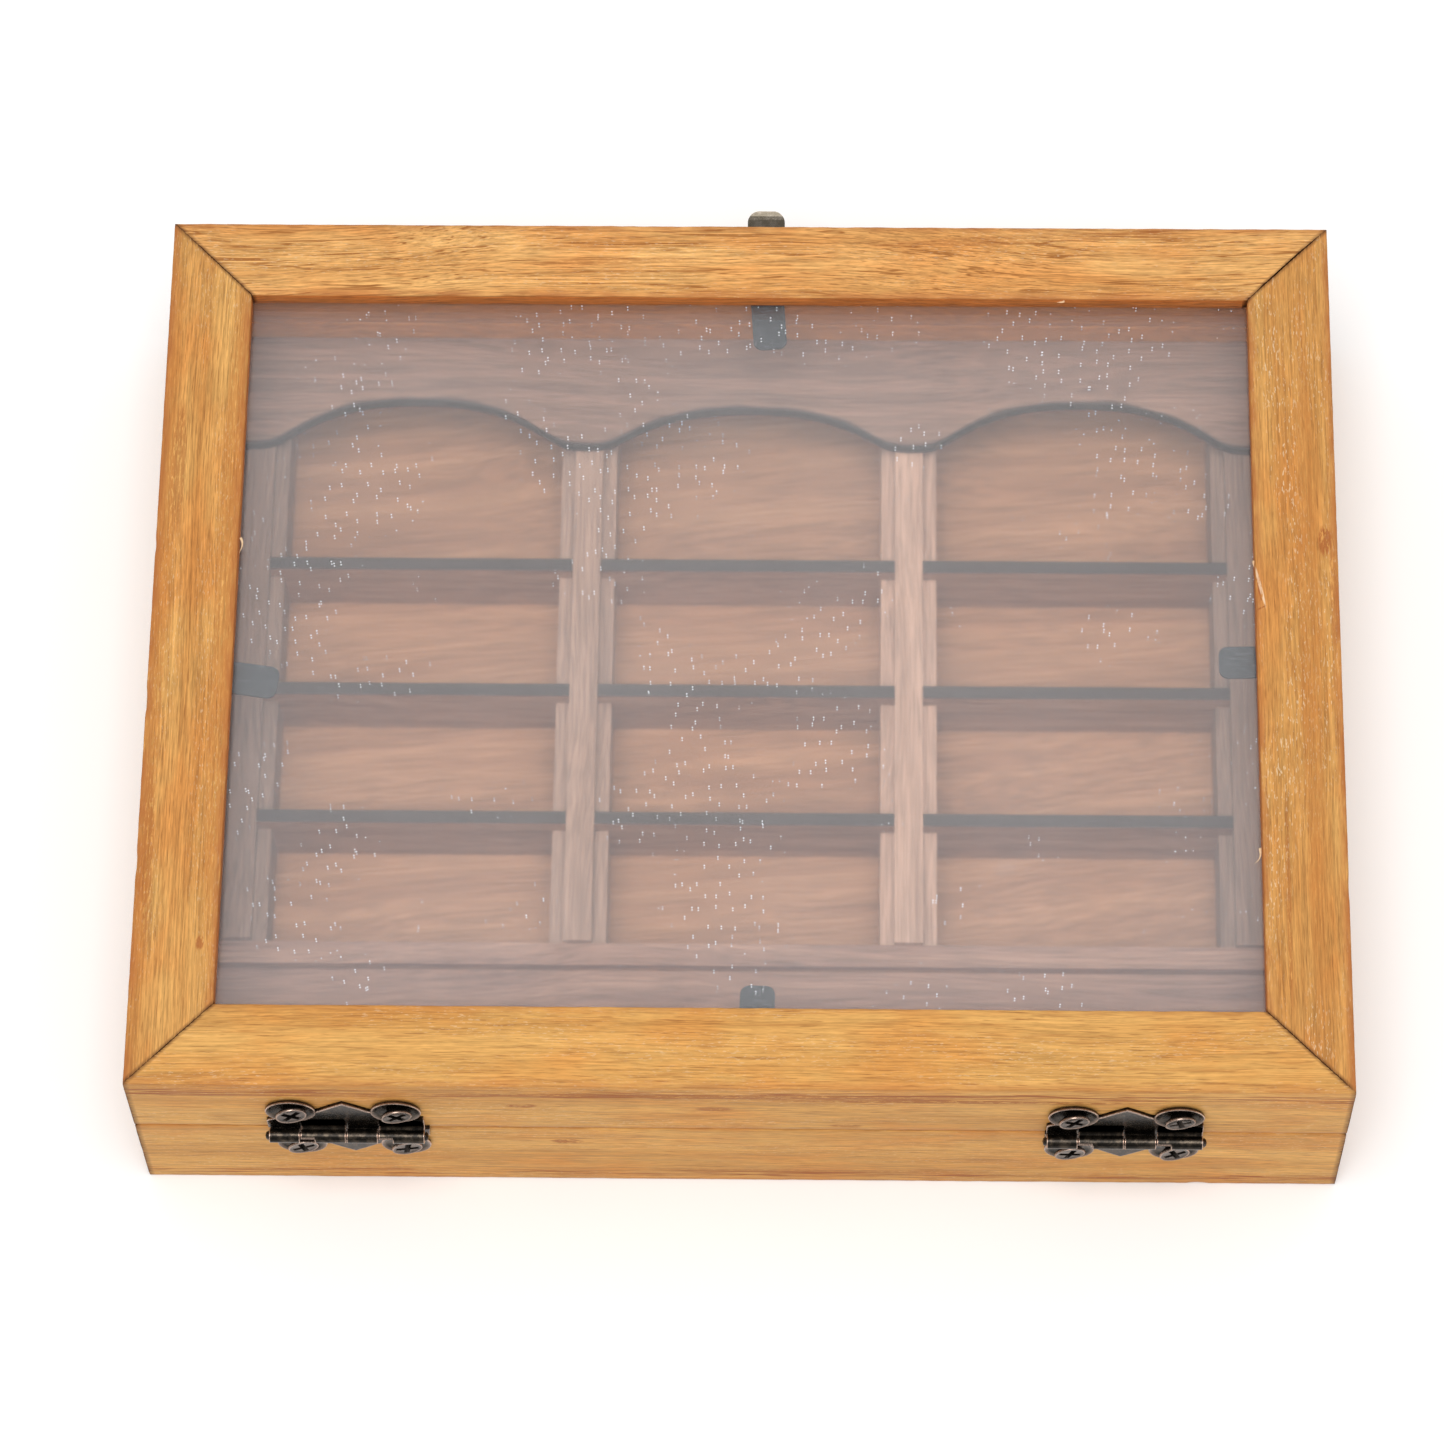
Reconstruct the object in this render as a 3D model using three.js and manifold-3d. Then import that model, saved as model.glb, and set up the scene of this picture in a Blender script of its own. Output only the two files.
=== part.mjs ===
// Tabletop display case: a shallow wooden box with a compartment rack, under a hinged lid with
// a clear pane. Millimetres. The origin is the middle of the underside, +X runs along the long
// side, +Y points to the latch side, and +Z points up through the pane.
import * as THREE from "three";
import { mergeVertices } from "three/addons/utils/BufferGeometryUtils.js";
import Module from "manifold-3d";

const wasm = await Module();
wasm.setup();

// ---- Driving dimensions ----------------------------------------------------------------------

const WIDTH = 250;
const DEPTH = 200;
const HEIGHT = 54;
const BODY_HEIGHT = 30;
const SEAM = 0.3; // between the box and the closed lid
const LID_BOTTOM = BODY_HEIGHT + SEAM;
const WALL = 12;
const MITRE_GAP = 0.3; // hairline between two rails at a mitred corner
const INNER_X = WIDTH / 2 - WALL;
const INNER_Y = DEPTH / 2 - WALL;

const BACK_THICKNESS = 4;
const FIT_GAP = 0.2; // around a panel that drops in between the walls

const FLANGE_WIDTH = 17.7; // the lid rail's flange over the pane
const FLANGE_THICKNESS = 4;
const FLANGE_UNDERSIDE = HEIGHT - FLANGE_THICKNESS;
const PANE_THICKNESS = 2;

const POST_WIDTH = 12;
const POST_RIB_WIDTH = 6;
const POST_STEP_TOP = 17.5;
const RACK_FRONT = 21; // the front plane of posts and shelves
const INNER_POST_X = 35;
const OUTER_POST_X = INNER_X - POST_WIDTH / 2;
const SHELF_THICKNESS = 2.9;
const SHELF_PITCH = 30;
const TOP_SHELF_Y = 33.7;
const SHELF_ROWS = 3;
const DADO_WIDTH = 3.1;

const SILL_FAR_Y = -54.5;
const SILL_THICKNESS = 5;
const SILL_TOP = 19.5;
const LEDGE_TOP = 16.4;

const HEADER_THICKNESS = 3;
const ARCH_SPRING_Y = 61.2;
const ARCH_FULLNESS = 2.5; // exponent of the arch curve: 2 is a parabola, more is squarer
const ARCH_SOFTNESS = 0.15; // how widely an arch's feet round off into the lobe beside it
const ARCHES = [
  { centre: -72.5, halfSpan: 31.5, rise: 11 },
  { centre: 0, halfSpan: 30.5, rise: 9.3 },
  { centre: 72.5, halfSpan: 31.5, rise: 11 },
];

const TAB = { length: 18, width: 7.2, thickness: 0.6, corner: 2, top: 47.9 };

const HINGES = [
  // x of the hinge's middle, and how far each leaf sits off it along the pin
  { hand: "left", x: -80.8, lidOffset: -0.3, boxOffset: 0.8 },
  { hand: "right", x: 79.2, lidOffset: 0, boxOffset: -0.2 },
];
const HINGE_PIN = { y: -102.6, z: 31.65, radius: 0.76 };
// bulge and tip are shares of the pin's radius
const PIN_HEAD = { bulge: 1.4, tip: 0.9, gap: 0.1, rise: 0.5, length: 0.7 };
const LEAF = {
  thickness: 1,
  foot: 1.6, // the reaches are distances from the pin
  lobeRadius: 5.2,
  lobeX: 10.8,
  lobeReach: 9.05,
  peakReach: 13.4,
  valleyX: 5.6,
  valleyReach: 8.7,
  handleReach: 11.3, // of the curve between a valley and the peak
};
const KNUCKLE = { outer: 1.5, bore: 0.86, gap: 0.2, neckFoot: 1.6, neckTop: 2.8 };
const KNUCKLE_SPLITS = [-16.1, -9.6, -0.1, 6.5, 16.1]; // from the hinge's middle, along the pin
const KNUCKLE_NOTCH = { front: -2, back: 3, top: 1.8 }; // room for the other leaf's knuckles

const SCREW = { headRadius: 3.2, headHeight: 1.3, shankRadius: 1.3, shankLength: 7 };
const SMALL_SCREW = { headRadius: 1.9, headHeight: 0.9, shankRadius: 0.8, shankLength: 5 };
const SCREW_CLEARANCE = 0.1;
const SCREW_SIDES = 16;

const LATCH_X = 3.3;
const LATCH_PIN = { y: 102.2, z: 31.8, radius: 0.5, length: 9.4 };
const LATCH_KNUCKLE = { outer: 1.2, bore: 0.6, gap: 0.15, middle: 4 };
const LATCH_PLATE = { thickness: 0.8, width: 16.6, corner: 2.5, screwX: 6 };
const LID_PLATE = { bottom: 33.6, top: 42.6, screwZ: 39.2 };
const CATCH_PLATE = { bottom: 19.5, top: 28.4, screwZ: 24 };
const TONGUE = { width: 8.2, thickness: 0.9, reach: 13.4, corner: 2.5, lipStart: 10, lipRise: 0.9 };
const TONGUE_SLOT = { near: 5.2, far: 9.3, width: 3.4 };
const HOOK = { width: 2.2, stemBottom: 23.2, stemTop: 24.4, reach: 4, lip: 0.8, lipTop: 26 };

// ---- Materials -------------------------------------------------------------------------------

function material(color, roughness, metalness = 0) {
  return new THREE.MeshStandardMaterial({ color, roughness, metalness });
}

const frameWood = material(0xdf9d54, 0.55);
const rackWood = material(0x8f5a3c, 0.65);
const backWood = material(0xb9774a, 0.6);
const bronze = material(0x3d342c, 0.4, 0.9);
const blackSteel = material(0x2b2d2f, 0.45, 0.6);
const acrylic = material(0xe4e6e8, 0.25);
acrylic.transparent = true;
acrylic.opacity = 0.35;

// ---- Geometry helpers ------------------------------------------------------------------------

// A geometry as a manifold-3d solid, with the vertices that its faces share merged.
function solid(geometry) {
  const bare = geometry.clone();
  bare.deleteAttribute("normal");
  bare.deleteAttribute("uv");
  const merged = mergeVertices(bare, 1e-4);
  return new wasm.Manifold(
    new wasm.Mesh({
      numProp: 3,
      vertProperties: merged.attributes.position.array,
      triVerts: new Uint32Array(merged.index.array),
    }),
  );
}

// A manifold-3d solid as a flat-shaded geometry.
function geometryOf(body) {
  const mesh = body.getMesh();
  const indexed = new THREE.BufferGeometry();
  indexed.setAttribute("position", new THREE.BufferAttribute(mesh.vertProperties, 3));
  indexed.setIndex(new THREE.BufferAttribute(mesh.triVerts, 1));
  const flat = indexed.toNonIndexed();
  flat.computeVertexNormals();
  return flat;
}

function cut(geometry, tools) {
  let body = solid(geometry);
  for (const tool of tools) body = body.subtract(solid(tool));
  return geometryOf(body);
}

function join(geometries) {
  let body = solid(geometries[0]);
  for (const other of geometries.slice(1)) body = body.add(solid(other));
  return geometryOf(body);
}

function common(first, second) {
  return geometryOf(solid(first).intersect(solid(second)));
}

function box(low, high) {
  const size = new THREE.Vector3(...high).sub(new THREE.Vector3(...low));
  const geometry = new THREE.BoxGeometry(size.x, size.y, size.z);
  return geometry.translate(low[0] + size.x / 2, low[1] + size.y / 2, low[2] + size.z / 2);
}

// A plan outline (x, y), extruded from z = bottom to z = top.
function extrudeUp(shape, bottom, top, curveSegments = 8) {
  const depth = top - bottom;
  const geometry = new THREE.ExtrudeGeometry(shape, { depth, bevelEnabled: false, curveSegments });
  return geometry.translate(0, 0, bottom);
}

// A section drawn as (y, z), extruded along X from x = start to x = end.
function extrudeAlongX(shape, start, end, curveSegments = 8) {
  const depth = end - start;
  const geometry = new THREE.ExtrudeGeometry(shape, { depth, bevelEnabled: false, curveSegments });
  return geometry.rotateZ(Math.PI / 2).rotateY(Math.PI / 2).translate(start, 0, 0);
}

// A section drawn as (x, z), extruded along Y from y = start to y = end.
function extrudeAlongY(shape, start, end, curveSegments = 8) {
  const depth = end - start;
  const geometry = new THREE.ExtrudeGeometry(shape, { depth, bevelEnabled: false, curveSegments });
  return geometry.rotateX(Math.PI / 2).translate(0, end, 0);
}

function polygon(points) {
  return new THREE.Shape(points.map(([x, y]) => new THREE.Vector2(x, y)));
}

function roundedRectangle(left, bottom, right, top, radius) {
  const shape = new THREE.Shape();
  shape.absarc(right - radius, bottom + radius, radius, -Math.PI / 2, 0);
  shape.absarc(right - radius, top - radius, radius, 0, Math.PI / 2);
  shape.absarc(left + radius, top - radius, radius, Math.PI / 2, Math.PI);
  shape.absarc(left + radius, bottom + radius, radius, Math.PI, (3 * Math.PI) / 2);
  return shape;
}

function circularHole(x, y, radius) {
  return new THREE.Path().absarc(x, y, radius, 0, 2 * Math.PI);
}

function part(name, geometry, finish) {
  const mesh = new THREE.Mesh(geometry, finish);
  mesh.name = name;
  return mesh;
}

// ---- Mitred rails ----------------------------------------------------------------------------

const SIDES = [
  { name: "near", turn: 0, length: WIDTH, distance: DEPTH / 2 },
  { name: "right", turn: Math.PI / 2, length: DEPTH, distance: WIDTH / 2 },
  { name: "far", turn: Math.PI, length: WIDTH, distance: DEPTH / 2 },
  { name: "left", turn: -Math.PI / 2, length: DEPTH, distance: WIDTH / 2 },
];

// A rail whose section is drawn as (distance in from the outer face, height). Both ends are cut
// at 45 degrees, so a point of the section ends as far short of the corner as it is inset.
function mitredRail(section, side) {
  const geometry = extrudeAlongX(section, -0.5, 0.5);
  const position = geometry.attributes.position;
  for (let i = 0; i < position.count; i++) {
    const inset = position.getY(i);
    const railLength = side.length - 2 * inset - MITRE_GAP;
    position.setX(i, position.getX(i) * railLength);
    position.setY(i, inset - side.distance);
  }
  return geometry.rotateZ(side.turn);
}

// ---- Screws ----------------------------------------------------------------------------------

// A pan-head screw along +Z, whose head rests on z = 0. The clearance makes the tool for its hole.
function screwGeometry(size) {
  const dome = Array.from({ length: 5 }, (_, i) => {
    const angle = (i / 4) * (Math.PI / 2);
    const radius = size.headRadius * (0.55 + 0.45 * Math.cos(angle));
    return new THREE.Vector2(radius, size.headHeight * (0.4 + 0.6 * Math.sin(angle)));
  });
  const profile = [
    new THREE.Vector2(0, -size.shankLength),
    new THREE.Vector2(size.shankRadius * 0.5, -size.shankLength + 1),
    new THREE.Vector2(size.shankRadius, -size.shankLength + 2.5),
    new THREE.Vector2(size.shankRadius, 0),
    new THREE.Vector2(size.headRadius, 0),
    ...dome,
    new THREE.Vector2(0, size.headHeight),
  ];
  return new THREE.LatheGeometry(profile, SCREW_SIDES).rotateX(Math.PI / 2);
}

function screwHole(size, plate) {
  const radius = size.shankRadius + SCREW_CLEARANCE;
  const length = size.shankLength + SCREW_CLEARANCE + plate;
  const geometry = new THREE.CylinderGeometry(radius, radius, length, SCREW_SIDES);
  return geometry.rotateX(Math.PI / 2).translate(0, 0, plate - length / 2);
}

// Turns a screw's axis from +Z to a wall's outward normal: -Y on the near wall, +Y on the far one.
function facing(geometry, side, x, y, z) {
  return geometry.rotateX(side === "near" ? Math.PI / 2 : -Math.PI / 2).translate(x, y, z);
}

const hingeScrews = [];
for (const hinge of HINGES) {
  for (const [leaf, offset, z] of [
    ["lid", hinge.lidOffset, HINGE_PIN.z + LEAF.lobeReach],
    ["box", hinge.boxOffset, HINGE_PIN.z - LEAF.lobeReach],
  ]) {
    for (const [end, sign] of [
      ["a", -1],
      ["b", 1],
    ]) {
      const x = hinge.x + offset + sign * LEAF.lobeX;
      hingeScrews.push({ name: `${hinge.hand}_hinge_${leaf}_screw_${end}`, leaf, x, z });
    }
  }
}
const latchScrews = [];
for (const [leaf, label, z] of [
  ["lid", "latch_plate", LID_PLATE.screwZ],
  ["box", "catch_plate", CATCH_PLATE.screwZ],
]) {
  for (const [end, sign] of [
    ["a", -1],
    ["b", 1],
  ]) {
    latchScrews.push({ name: `${label}_screw_${end}`, leaf, x: LATCH_X + sign * LATCH_PLATE.screwX, z });
  }
}

function screwHolesIn(leaf, side) {
  if (side === "near") {
    return hingeScrews
      .filter((screw) => screw.leaf === leaf)
      .map((screw) => facing(screwHole(SCREW, LEAF.thickness), side, screw.x, -DEPTH / 2, screw.z));
  }
  if (side === "far") {
    return latchScrews
      .filter((screw) => screw.leaf === leaf)
      .map((screw) =>
        facing(screwHole(SMALL_SCREW, LATCH_PLATE.thickness), side, screw.x, DEPTH / 2, screw.z),
      );
  }
  return [];
}

function screwsOf(leaf) {
  const big = hingeScrews
    .filter((screw) => screw.leaf === leaf)
    .map((screw) => {
      const y = -DEPTH / 2 - LEAF.thickness;
      return part(screw.name, facing(screwGeometry(SCREW), "near", screw.x, y, screw.z), bronze);
    });
  const small = latchScrews
    .filter((screw) => screw.leaf === leaf)
    .map((screw) => {
      const y = DEPTH / 2 + LATCH_PLATE.thickness;
      return part(screw.name, facing(screwGeometry(SMALL_SCREW), "far", screw.x, y, screw.z), bronze);
    });
  return [...big, ...small];
}

// ---- Box -------------------------------------------------------------------------------------

function boxWalls() {
  const section = polygon([
    [0, 0],
    [WALL, 0],
    [WALL, BODY_HEIGHT],
    [0, BODY_HEIGHT],
  ]);
  return SIDES.map((side) => {
    const holes = screwHolesIn("box", side.name);
    return part(`box_${side.name}_wall`, cut(mitredRail(section, side), holes), frameWood);
  });
}

function backPanel() {
  const x = INNER_X - FIT_GAP;
  const y = INNER_Y - FIT_GAP;
  return part("back_panel", box([-x, -y, 0], [x, y, BACK_THICKNESS]), backWood);
}

// ---- Rack ------------------------------------------------------------------------------------

const shelfYs = Array.from({ length: SHELF_ROWS }, (_, row) => TOP_SHELF_Y - row * SHELF_PITCH);

// A stepped moulding: a rib with a lower step on each side, which the shelf dadoes cut through.
function post(x) {
  const half = POST_WIDTH / 2;
  const rib = POST_RIB_WIDTH / 2;
  const section = polygon([
    [-half, BACK_THICKNESS],
    [half, BACK_THICKNESS],
    [half, POST_STEP_TOP],
    [rib, POST_STEP_TOP],
    [rib, RACK_FRONT],
    [-rib, RACK_FRONT],
    [-rib, POST_STEP_TOP],
    [-half, POST_STEP_TOP],
  ]);
  const moulding = extrudeAlongY(section, SILL_FAR_Y, INNER_Y - FIT_GAP);
  const dadoes = shelfYs.flatMap((y) =>
    [-1, 1]
      .filter((side) => x + side * half < INNER_X && x + side * half > -INNER_X)
      .map((side) => {
        const near = side * rib;
        const far = side * (half + 1);
        return box(
          [Math.min(near, far), y - DADO_WIDTH / 2, BACK_THICKNESS - 1],
          [Math.max(near, far), y + DADO_WIDTH / 2, POST_STEP_TOP + 1],
        );
      }),
  );
  return cut(moulding, dadoes).translate(x, 0, 0);
}

function posts() {
  return [-OUTER_POST_X, -INNER_POST_X, INNER_POST_X, OUTER_POST_X].map((x, i) =>
    part(`post_${i + 1}`, post(x), rackWood),
  );
}

function shelves() {
  const rib = POST_RIB_WIDTH / 2;
  const columns = [
    ["left", -OUTER_POST_X + rib, -INNER_POST_X - rib],
    ["middle", -INNER_POST_X + rib, INNER_POST_X - rib],
    ["right", INNER_POST_X + rib, OUTER_POST_X - rib],
  ];
  return columns.flatMap(([column, start, end]) =>
    shelfYs.map((y, row) => {
      const half = SHELF_THICKNESS / 2;
      const plank = box([start, y - half, BACK_THICKNESS], [end, y + half, RACK_FRONT]);
      return part(`shelf_${column}_${row + 1}`, plank, rackWood);
    }),
  );
}

// The header's lower edge at x: each arch is a full curve whose feet round off smoothly.
function archEdge(x) {
  const nearest = ARCHES.reduce((a, b) => (Math.abs(x - a.centre) < Math.abs(x - b.centre) ? a : b));
  const t = Math.abs(x - nearest.centre) / nearest.halfSpan;
  const height = 1 - t ** ARCH_FULLNESS;
  const softened = (height + Math.hypot(height, ARCH_SOFTNESS)) / 2;
  return ARCH_SPRING_Y + nearest.rise * softened;
}

function header() {
  const x = INNER_X - FIT_GAP;
  const steps = 90;
  const edge = Array.from({ length: steps + 1 }, (_, i) => {
    const along = -x + (2 * x * i) / steps;
    return [along, archEdge(along)];
  });
  const far = INNER_Y - FIT_GAP;
  const outline = polygon([...edge, [x, far], [-x, far]]);
  return part("arched_header", extrudeUp(outline, RACK_FRONT, RACK_FRONT + HEADER_THICKNESS), rackWood);
}

function sillAndLedge() {
  const x = INNER_X - FIT_GAP;
  const sillNearY = SILL_FAR_Y - SILL_THICKNESS;
  const sill = box([-x, sillNearY, BACK_THICKNESS], [x, SILL_FAR_Y, SILL_TOP]);
  const ledge = box([-x, -INNER_Y + FIT_GAP, BACK_THICKNESS], [x, sillNearY, LEDGE_TOP]);
  return [part("rack_sill", sill, rackWood), part("front_ledge", ledge, rackWood)];
}

// ---- Lid -------------------------------------------------------------------------------------

const TABS = [
  { side: "far", along: 3.7, protrusion: 15.4, skew: 0.07 },
  { side: "left", along: -5.6, protrusion: 15.1, skew: -0.14 },
  { side: "right", along: -1.2, protrusion: 13.3, skew: 0.02 },
  { side: "near", along: 3.4, protrusion: 12.6, skew: -0.02 },
];

// A thin steel tab driven into a lid wall under the pane. The growth makes the tool for its slot.
function tabGeometry(tab, growth = 0) {
  const half = TAB.width / 2 + growth;
  const tip = tab.protrusion + growth;
  const root = tab.protrusion - TAB.length - growth;
  const outline = roundedRectangle(-half, root, half, tip, TAB.corner);
  const bottom = TAB.top - TAB.thickness - growth;
  const geometry = extrudeUp(outline, bottom, TAB.top + growth, 4);
  geometry.rotateZ(tab.skew);
  const place = {
    near: [0, tab.along, -INNER_Y],
    right: [Math.PI / 2, INNER_X, tab.along],
    far: [Math.PI, tab.along, INNER_Y],
    left: [-Math.PI / 2, -INNER_X, tab.along],
  }[tab.side];
  return geometry.rotateZ(place[0]).translate(place[1], place[2], 0);
}

function lidRails() {
  const section = polygon([
    [0, LID_BOTTOM],
    [WALL, LID_BOTTOM],
    [WALL, FLANGE_UNDERSIDE],
    [FLANGE_WIDTH, FLANGE_UNDERSIDE],
    [FLANGE_WIDTH, HEIGHT],
    [0, HEIGHT],
  ]);
  return SIDES.map((side) => {
    const tab = TABS.find((candidate) => candidate.side === side.name);
    const tools = [...screwHolesIn("lid", side.name), tabGeometry(tab, 0.1)];
    return part(`lid_${side.name}_rail`, cut(mitredRail(section, side), tools), frameWood);
  });
}

function pane() {
  const x = INNER_X - FIT_GAP;
  const y = INNER_Y - FIT_GAP;
  const bottom = FLANGE_UNDERSIDE - PANE_THICKNESS;
  return part("pane", box([-x, -y, bottom], [x, y, FLANGE_UNDERSIDE]), acrylic);
}

function tabs() {
  return TABS.map((tab) => part(`pane_tab_${tab.side}`, tabGeometry(tab), blackSteel));
}

// ---- Hinges ----------------------------------------------------------------------------------

// A leaf's plate, drawn as (x, height from the pin): a round lobe at each end of a pointed middle.
function leafOutline() {
  const { foot, lobeX, lobeReach, lobeRadius, peakReach, valleyX, valleyReach, handleReach } = LEAF;
  const width = lobeX + lobeRadius;
  const shape = new THREE.Shape();
  const valleyAngle = Math.atan2(valleyReach - lobeReach, lobeX - valleyX);
  shape.moveTo(-width, foot);
  shape.lineTo(width, foot);
  shape.lineTo(width, lobeReach);
  shape.absarc(lobeX, lobeReach, lobeRadius, 0, Math.PI - valleyAngle);
  shape.quadraticCurveTo(valleyX / 2, handleReach, 0, peakReach);
  shape.quadraticCurveTo(-valleyX / 2, handleReach, -valleyX, valleyReach);
  shape.absarc(-lobeX, lobeReach, lobeRadius, valleyAngle, Math.PI);
  return shape;
}

// A knuckle's section as (y, height from the pin), joined to the plate by its rolled neck.
function knuckleSection() {
  const plateFront = -DEPTH / 2 - LEAF.thickness - HINGE_PIN.y;
  const plateBack = -DEPTH / 2 - HINGE_PIN.y;
  const shape = new THREE.Shape();
  shape.moveTo(plateBack, KNUCKLE.neckTop);
  shape.lineTo(plateFront, KNUCKLE.neckTop);
  shape.lineTo(0, KNUCKLE.outer);
  shape.absarc(0, 0, KNUCKLE.outer, Math.PI / 2, 2 * Math.PI + 0.6);
  shape.lineTo(plateBack, KNUCKLE.neckFoot);
  shape.holes.push(circularHole(0, 0, KNUCKLE.bore));
  return shape;
}

// A whole leaf standing above its pin, which lies on the X axis. Odd knuckles are the other leaf's.
function leafGeometry(first, offset) {
  const plate = extrudeAlongY(leafOutline(), -LEAF.thickness, 0, 6).translate(
    offset,
    -DEPTH / 2 - HINGE_PIN.y,
    0,
  );
  const holes = [-1, 1].map((sign) =>
    facing(
      screwHole(SCREW, LEAF.thickness + 1),
      "near",
      offset + sign * LEAF.lobeX,
      -DEPTH / 2 - HINGE_PIN.y,
      LEAF.lobeReach,
    ),
  );
  const { front, back, top } = KNUCKLE_NOTCH;
  const knuckles = [];
  const notches = [];
  for (let i = 0; i < KNUCKLE_SPLITS.length - 1; i++) {
    const start = KNUCKLE_SPLITS[i] + KNUCKLE.gap / 2;
    const end = KNUCKLE_SPLITS[i + 1] - KNUCKLE.gap / 2;
    if (i % 2 === first) knuckles.push(extrudeAlongX(knuckleSection(), start, end, 10));
    else notches.push(box([start - KNUCKLE.gap, front, 0], [end + KNUCKLE.gap, back, top]));
  }
  return cut(join([plate, ...knuckles]), [...holes, ...notches]);
}

function hingePin() {
  const { bulge, tip, gap, rise, length } = PIN_HEAD;
  const { radius } = HINGE_PIN;
  const end = KNUCKLE_SPLITS.at(-1) + gap;
  const profile = [
    new THREE.Vector2(0, -end - length),
    new THREE.Vector2(radius * tip, -end - rise),
    new THREE.Vector2(radius * bulge, -end),
    new THREE.Vector2(radius, -end),
    new THREE.Vector2(radius, end),
    new THREE.Vector2(radius * bulge, end),
    new THREE.Vector2(radius * tip, end + rise),
    new THREE.Vector2(0, end + length),
  ];
  return new THREE.LatheGeometry(profile, 20).rotateZ(-Math.PI / 2);
}

function lidLeaf(hinge) {
  return leafGeometry(1, hinge.lidOffset).translate(hinge.x, HINGE_PIN.y, HINGE_PIN.z);
}

// The lower leaf is the same pressing turned over about the pin.
function boxLeaf(hinge) {
  const leaf = solid(leafGeometry(0, hinge.boxOffset));
  return geometryOf(leaf.mirror([0, 0, 1])).translate(hinge.x, HINGE_PIN.y, HINGE_PIN.z);
}

// ---- Latch -----------------------------------------------------------------------------------

// A latch plate on the far face, with two screw holes.
function latchPlate(size) {
  const half = LATCH_PLATE.width / 2;
  const outline = roundedRectangle(-half, size.bottom, half, size.top, LATCH_PLATE.corner);
  for (const sign of [-1, 1]) {
    const radius = SMALL_SCREW.shankRadius + SCREW_CLEARANCE;
    outline.holes.push(circularHole(sign * LATCH_PLATE.screwX, size.screwZ, radius));
  }
  return extrudeAlongY(outline, DEPTH / 2, DEPTH / 2 + LATCH_PLATE.thickness, 5);
}

function lidLatchPlate() {
  const { y, z } = LATCH_PIN;
  const face = DEPTH / 2;
  const front = face + LATCH_PLATE.thickness;
  const section = new THREE.Shape();
  section.moveTo(face, LID_PLATE.bottom + 1);
  section.lineTo(face, z + 0.6);
  section.lineTo(y - 1, z - 0.6);
  section.absarc(y, z, LATCH_KNUCKLE.outer, Math.PI + 0.5, 2.5 * Math.PI);
  section.lineTo(front, LID_PLATE.bottom);
  section.lineTo(front, LID_PLATE.bottom + 1);
  section.holes.push(circularHole(y, z, LATCH_KNUCKLE.bore));
  const inner = LATCH_KNUCKLE.middle / 2 + LATCH_KNUCKLE.gap;
  const outer = LATCH_PIN.length / 2 - 0.3;
  const knuckles = [-1, 1].map((sign) =>
    extrudeAlongX(section, sign < 0 ? -outer : inner, sign < 0 ? -inner : outer, 8),
  );
  return join([latchPlate(LID_PLATE), ...knuckles]).translate(LATCH_X, 0, 0);
}

function latchPin() {
  const { radius, length, y, z } = LATCH_PIN;
  return new THREE.CylinderGeometry(radius, radius, length, 16)
    .rotateZ(Math.PI / 2)
    .translate(LATCH_X, y, z);
}

// The tongue sticks straight out over the seam: a rounded outline with a slot for the hook, and
// a lip that curls up at the tip.
function latchTongue() {
  const { width, thickness, reach, corner, lipStart, lipRise } = TONGUE;
  const half = width / 2;
  const middle = LATCH_KNUCKLE.middle / 2;
  const shoulder = LATCH_KNUCKLE.outer + 0.5;
  const outline = new THREE.Shape();
  outline.moveTo(-middle, 0);
  outline.lineTo(middle, 0);
  outline.lineTo(middle, shoulder);
  outline.lineTo(half, shoulder);
  outline.absarc(half - corner, reach - corner, corner, 0, Math.PI / 2);
  outline.absarc(corner - half, reach - corner, corner, Math.PI / 2, Math.PI);
  outline.lineTo(-half, shoulder);
  outline.lineTo(-middle, shoulder);
  const slotHalf = TONGUE_SLOT.width / 2;
  outline.holes.push(
    roundedRectangle(-slotHalf, TONGUE_SLOT.near, slotHalf, TONGUE_SLOT.far, 1),
  );
  const plan = extrudeUp(outline, -3, 3, 6);

  const side = new THREE.Shape();
  const t = thickness / 2;
  side.moveTo(0, -t);
  side.lineTo(lipStart, -t);
  side.quadraticCurveTo(lipStart + 2, -t, reach + 0.5, lipRise - t);
  side.lineTo(reach + 0.5, lipRise + t);
  side.quadraticCurveTo(lipStart + 2, t, lipStart, t);
  side.lineTo(0, t);
  const strip = extrudeAlongX(side, -half - 1, half + 1, 5);

  const knuckle = new THREE.Shape().absarc(0, 0, LATCH_KNUCKLE.outer, 0, 2 * Math.PI);
  const barrel = extrudeAlongX(knuckle, -middle, middle, 16);
  const bore = new THREE.Shape().absarc(0, 0, LATCH_KNUCKLE.bore, 0, 2 * Math.PI);
  const tool = extrudeAlongX(bore, -middle - 1, middle + 1, 16);
  const body = cut(join([common(plan, strip), barrel]), [tool]);
  return body.translate(LATCH_X, LATCH_PIN.y, LATCH_PIN.z);
}

// The catch plate on the box, with an upturned hook that enters the tongue's slot.
function catchPlate() {
  const face = DEPTH / 2;
  const hookEnd = face + HOOK.reach;
  const section = polygon([
    [face + 0.2, HOOK.stemBottom],
    [hookEnd, HOOK.stemBottom],
    [hookEnd, HOOK.lipTop],
    [hookEnd - HOOK.lip, HOOK.lipTop],
    [hookEnd - HOOK.lip, HOOK.stemTop],
    [face + 0.2, HOOK.stemTop],
  ]);
  const hook = extrudeAlongX(section, -HOOK.width / 2, HOOK.width / 2);
  return join([latchPlate(CATCH_PLATE), hook]).translate(LATCH_X, 0, 0);
}

// ---- Assembly --------------------------------------------------------------------------------

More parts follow.
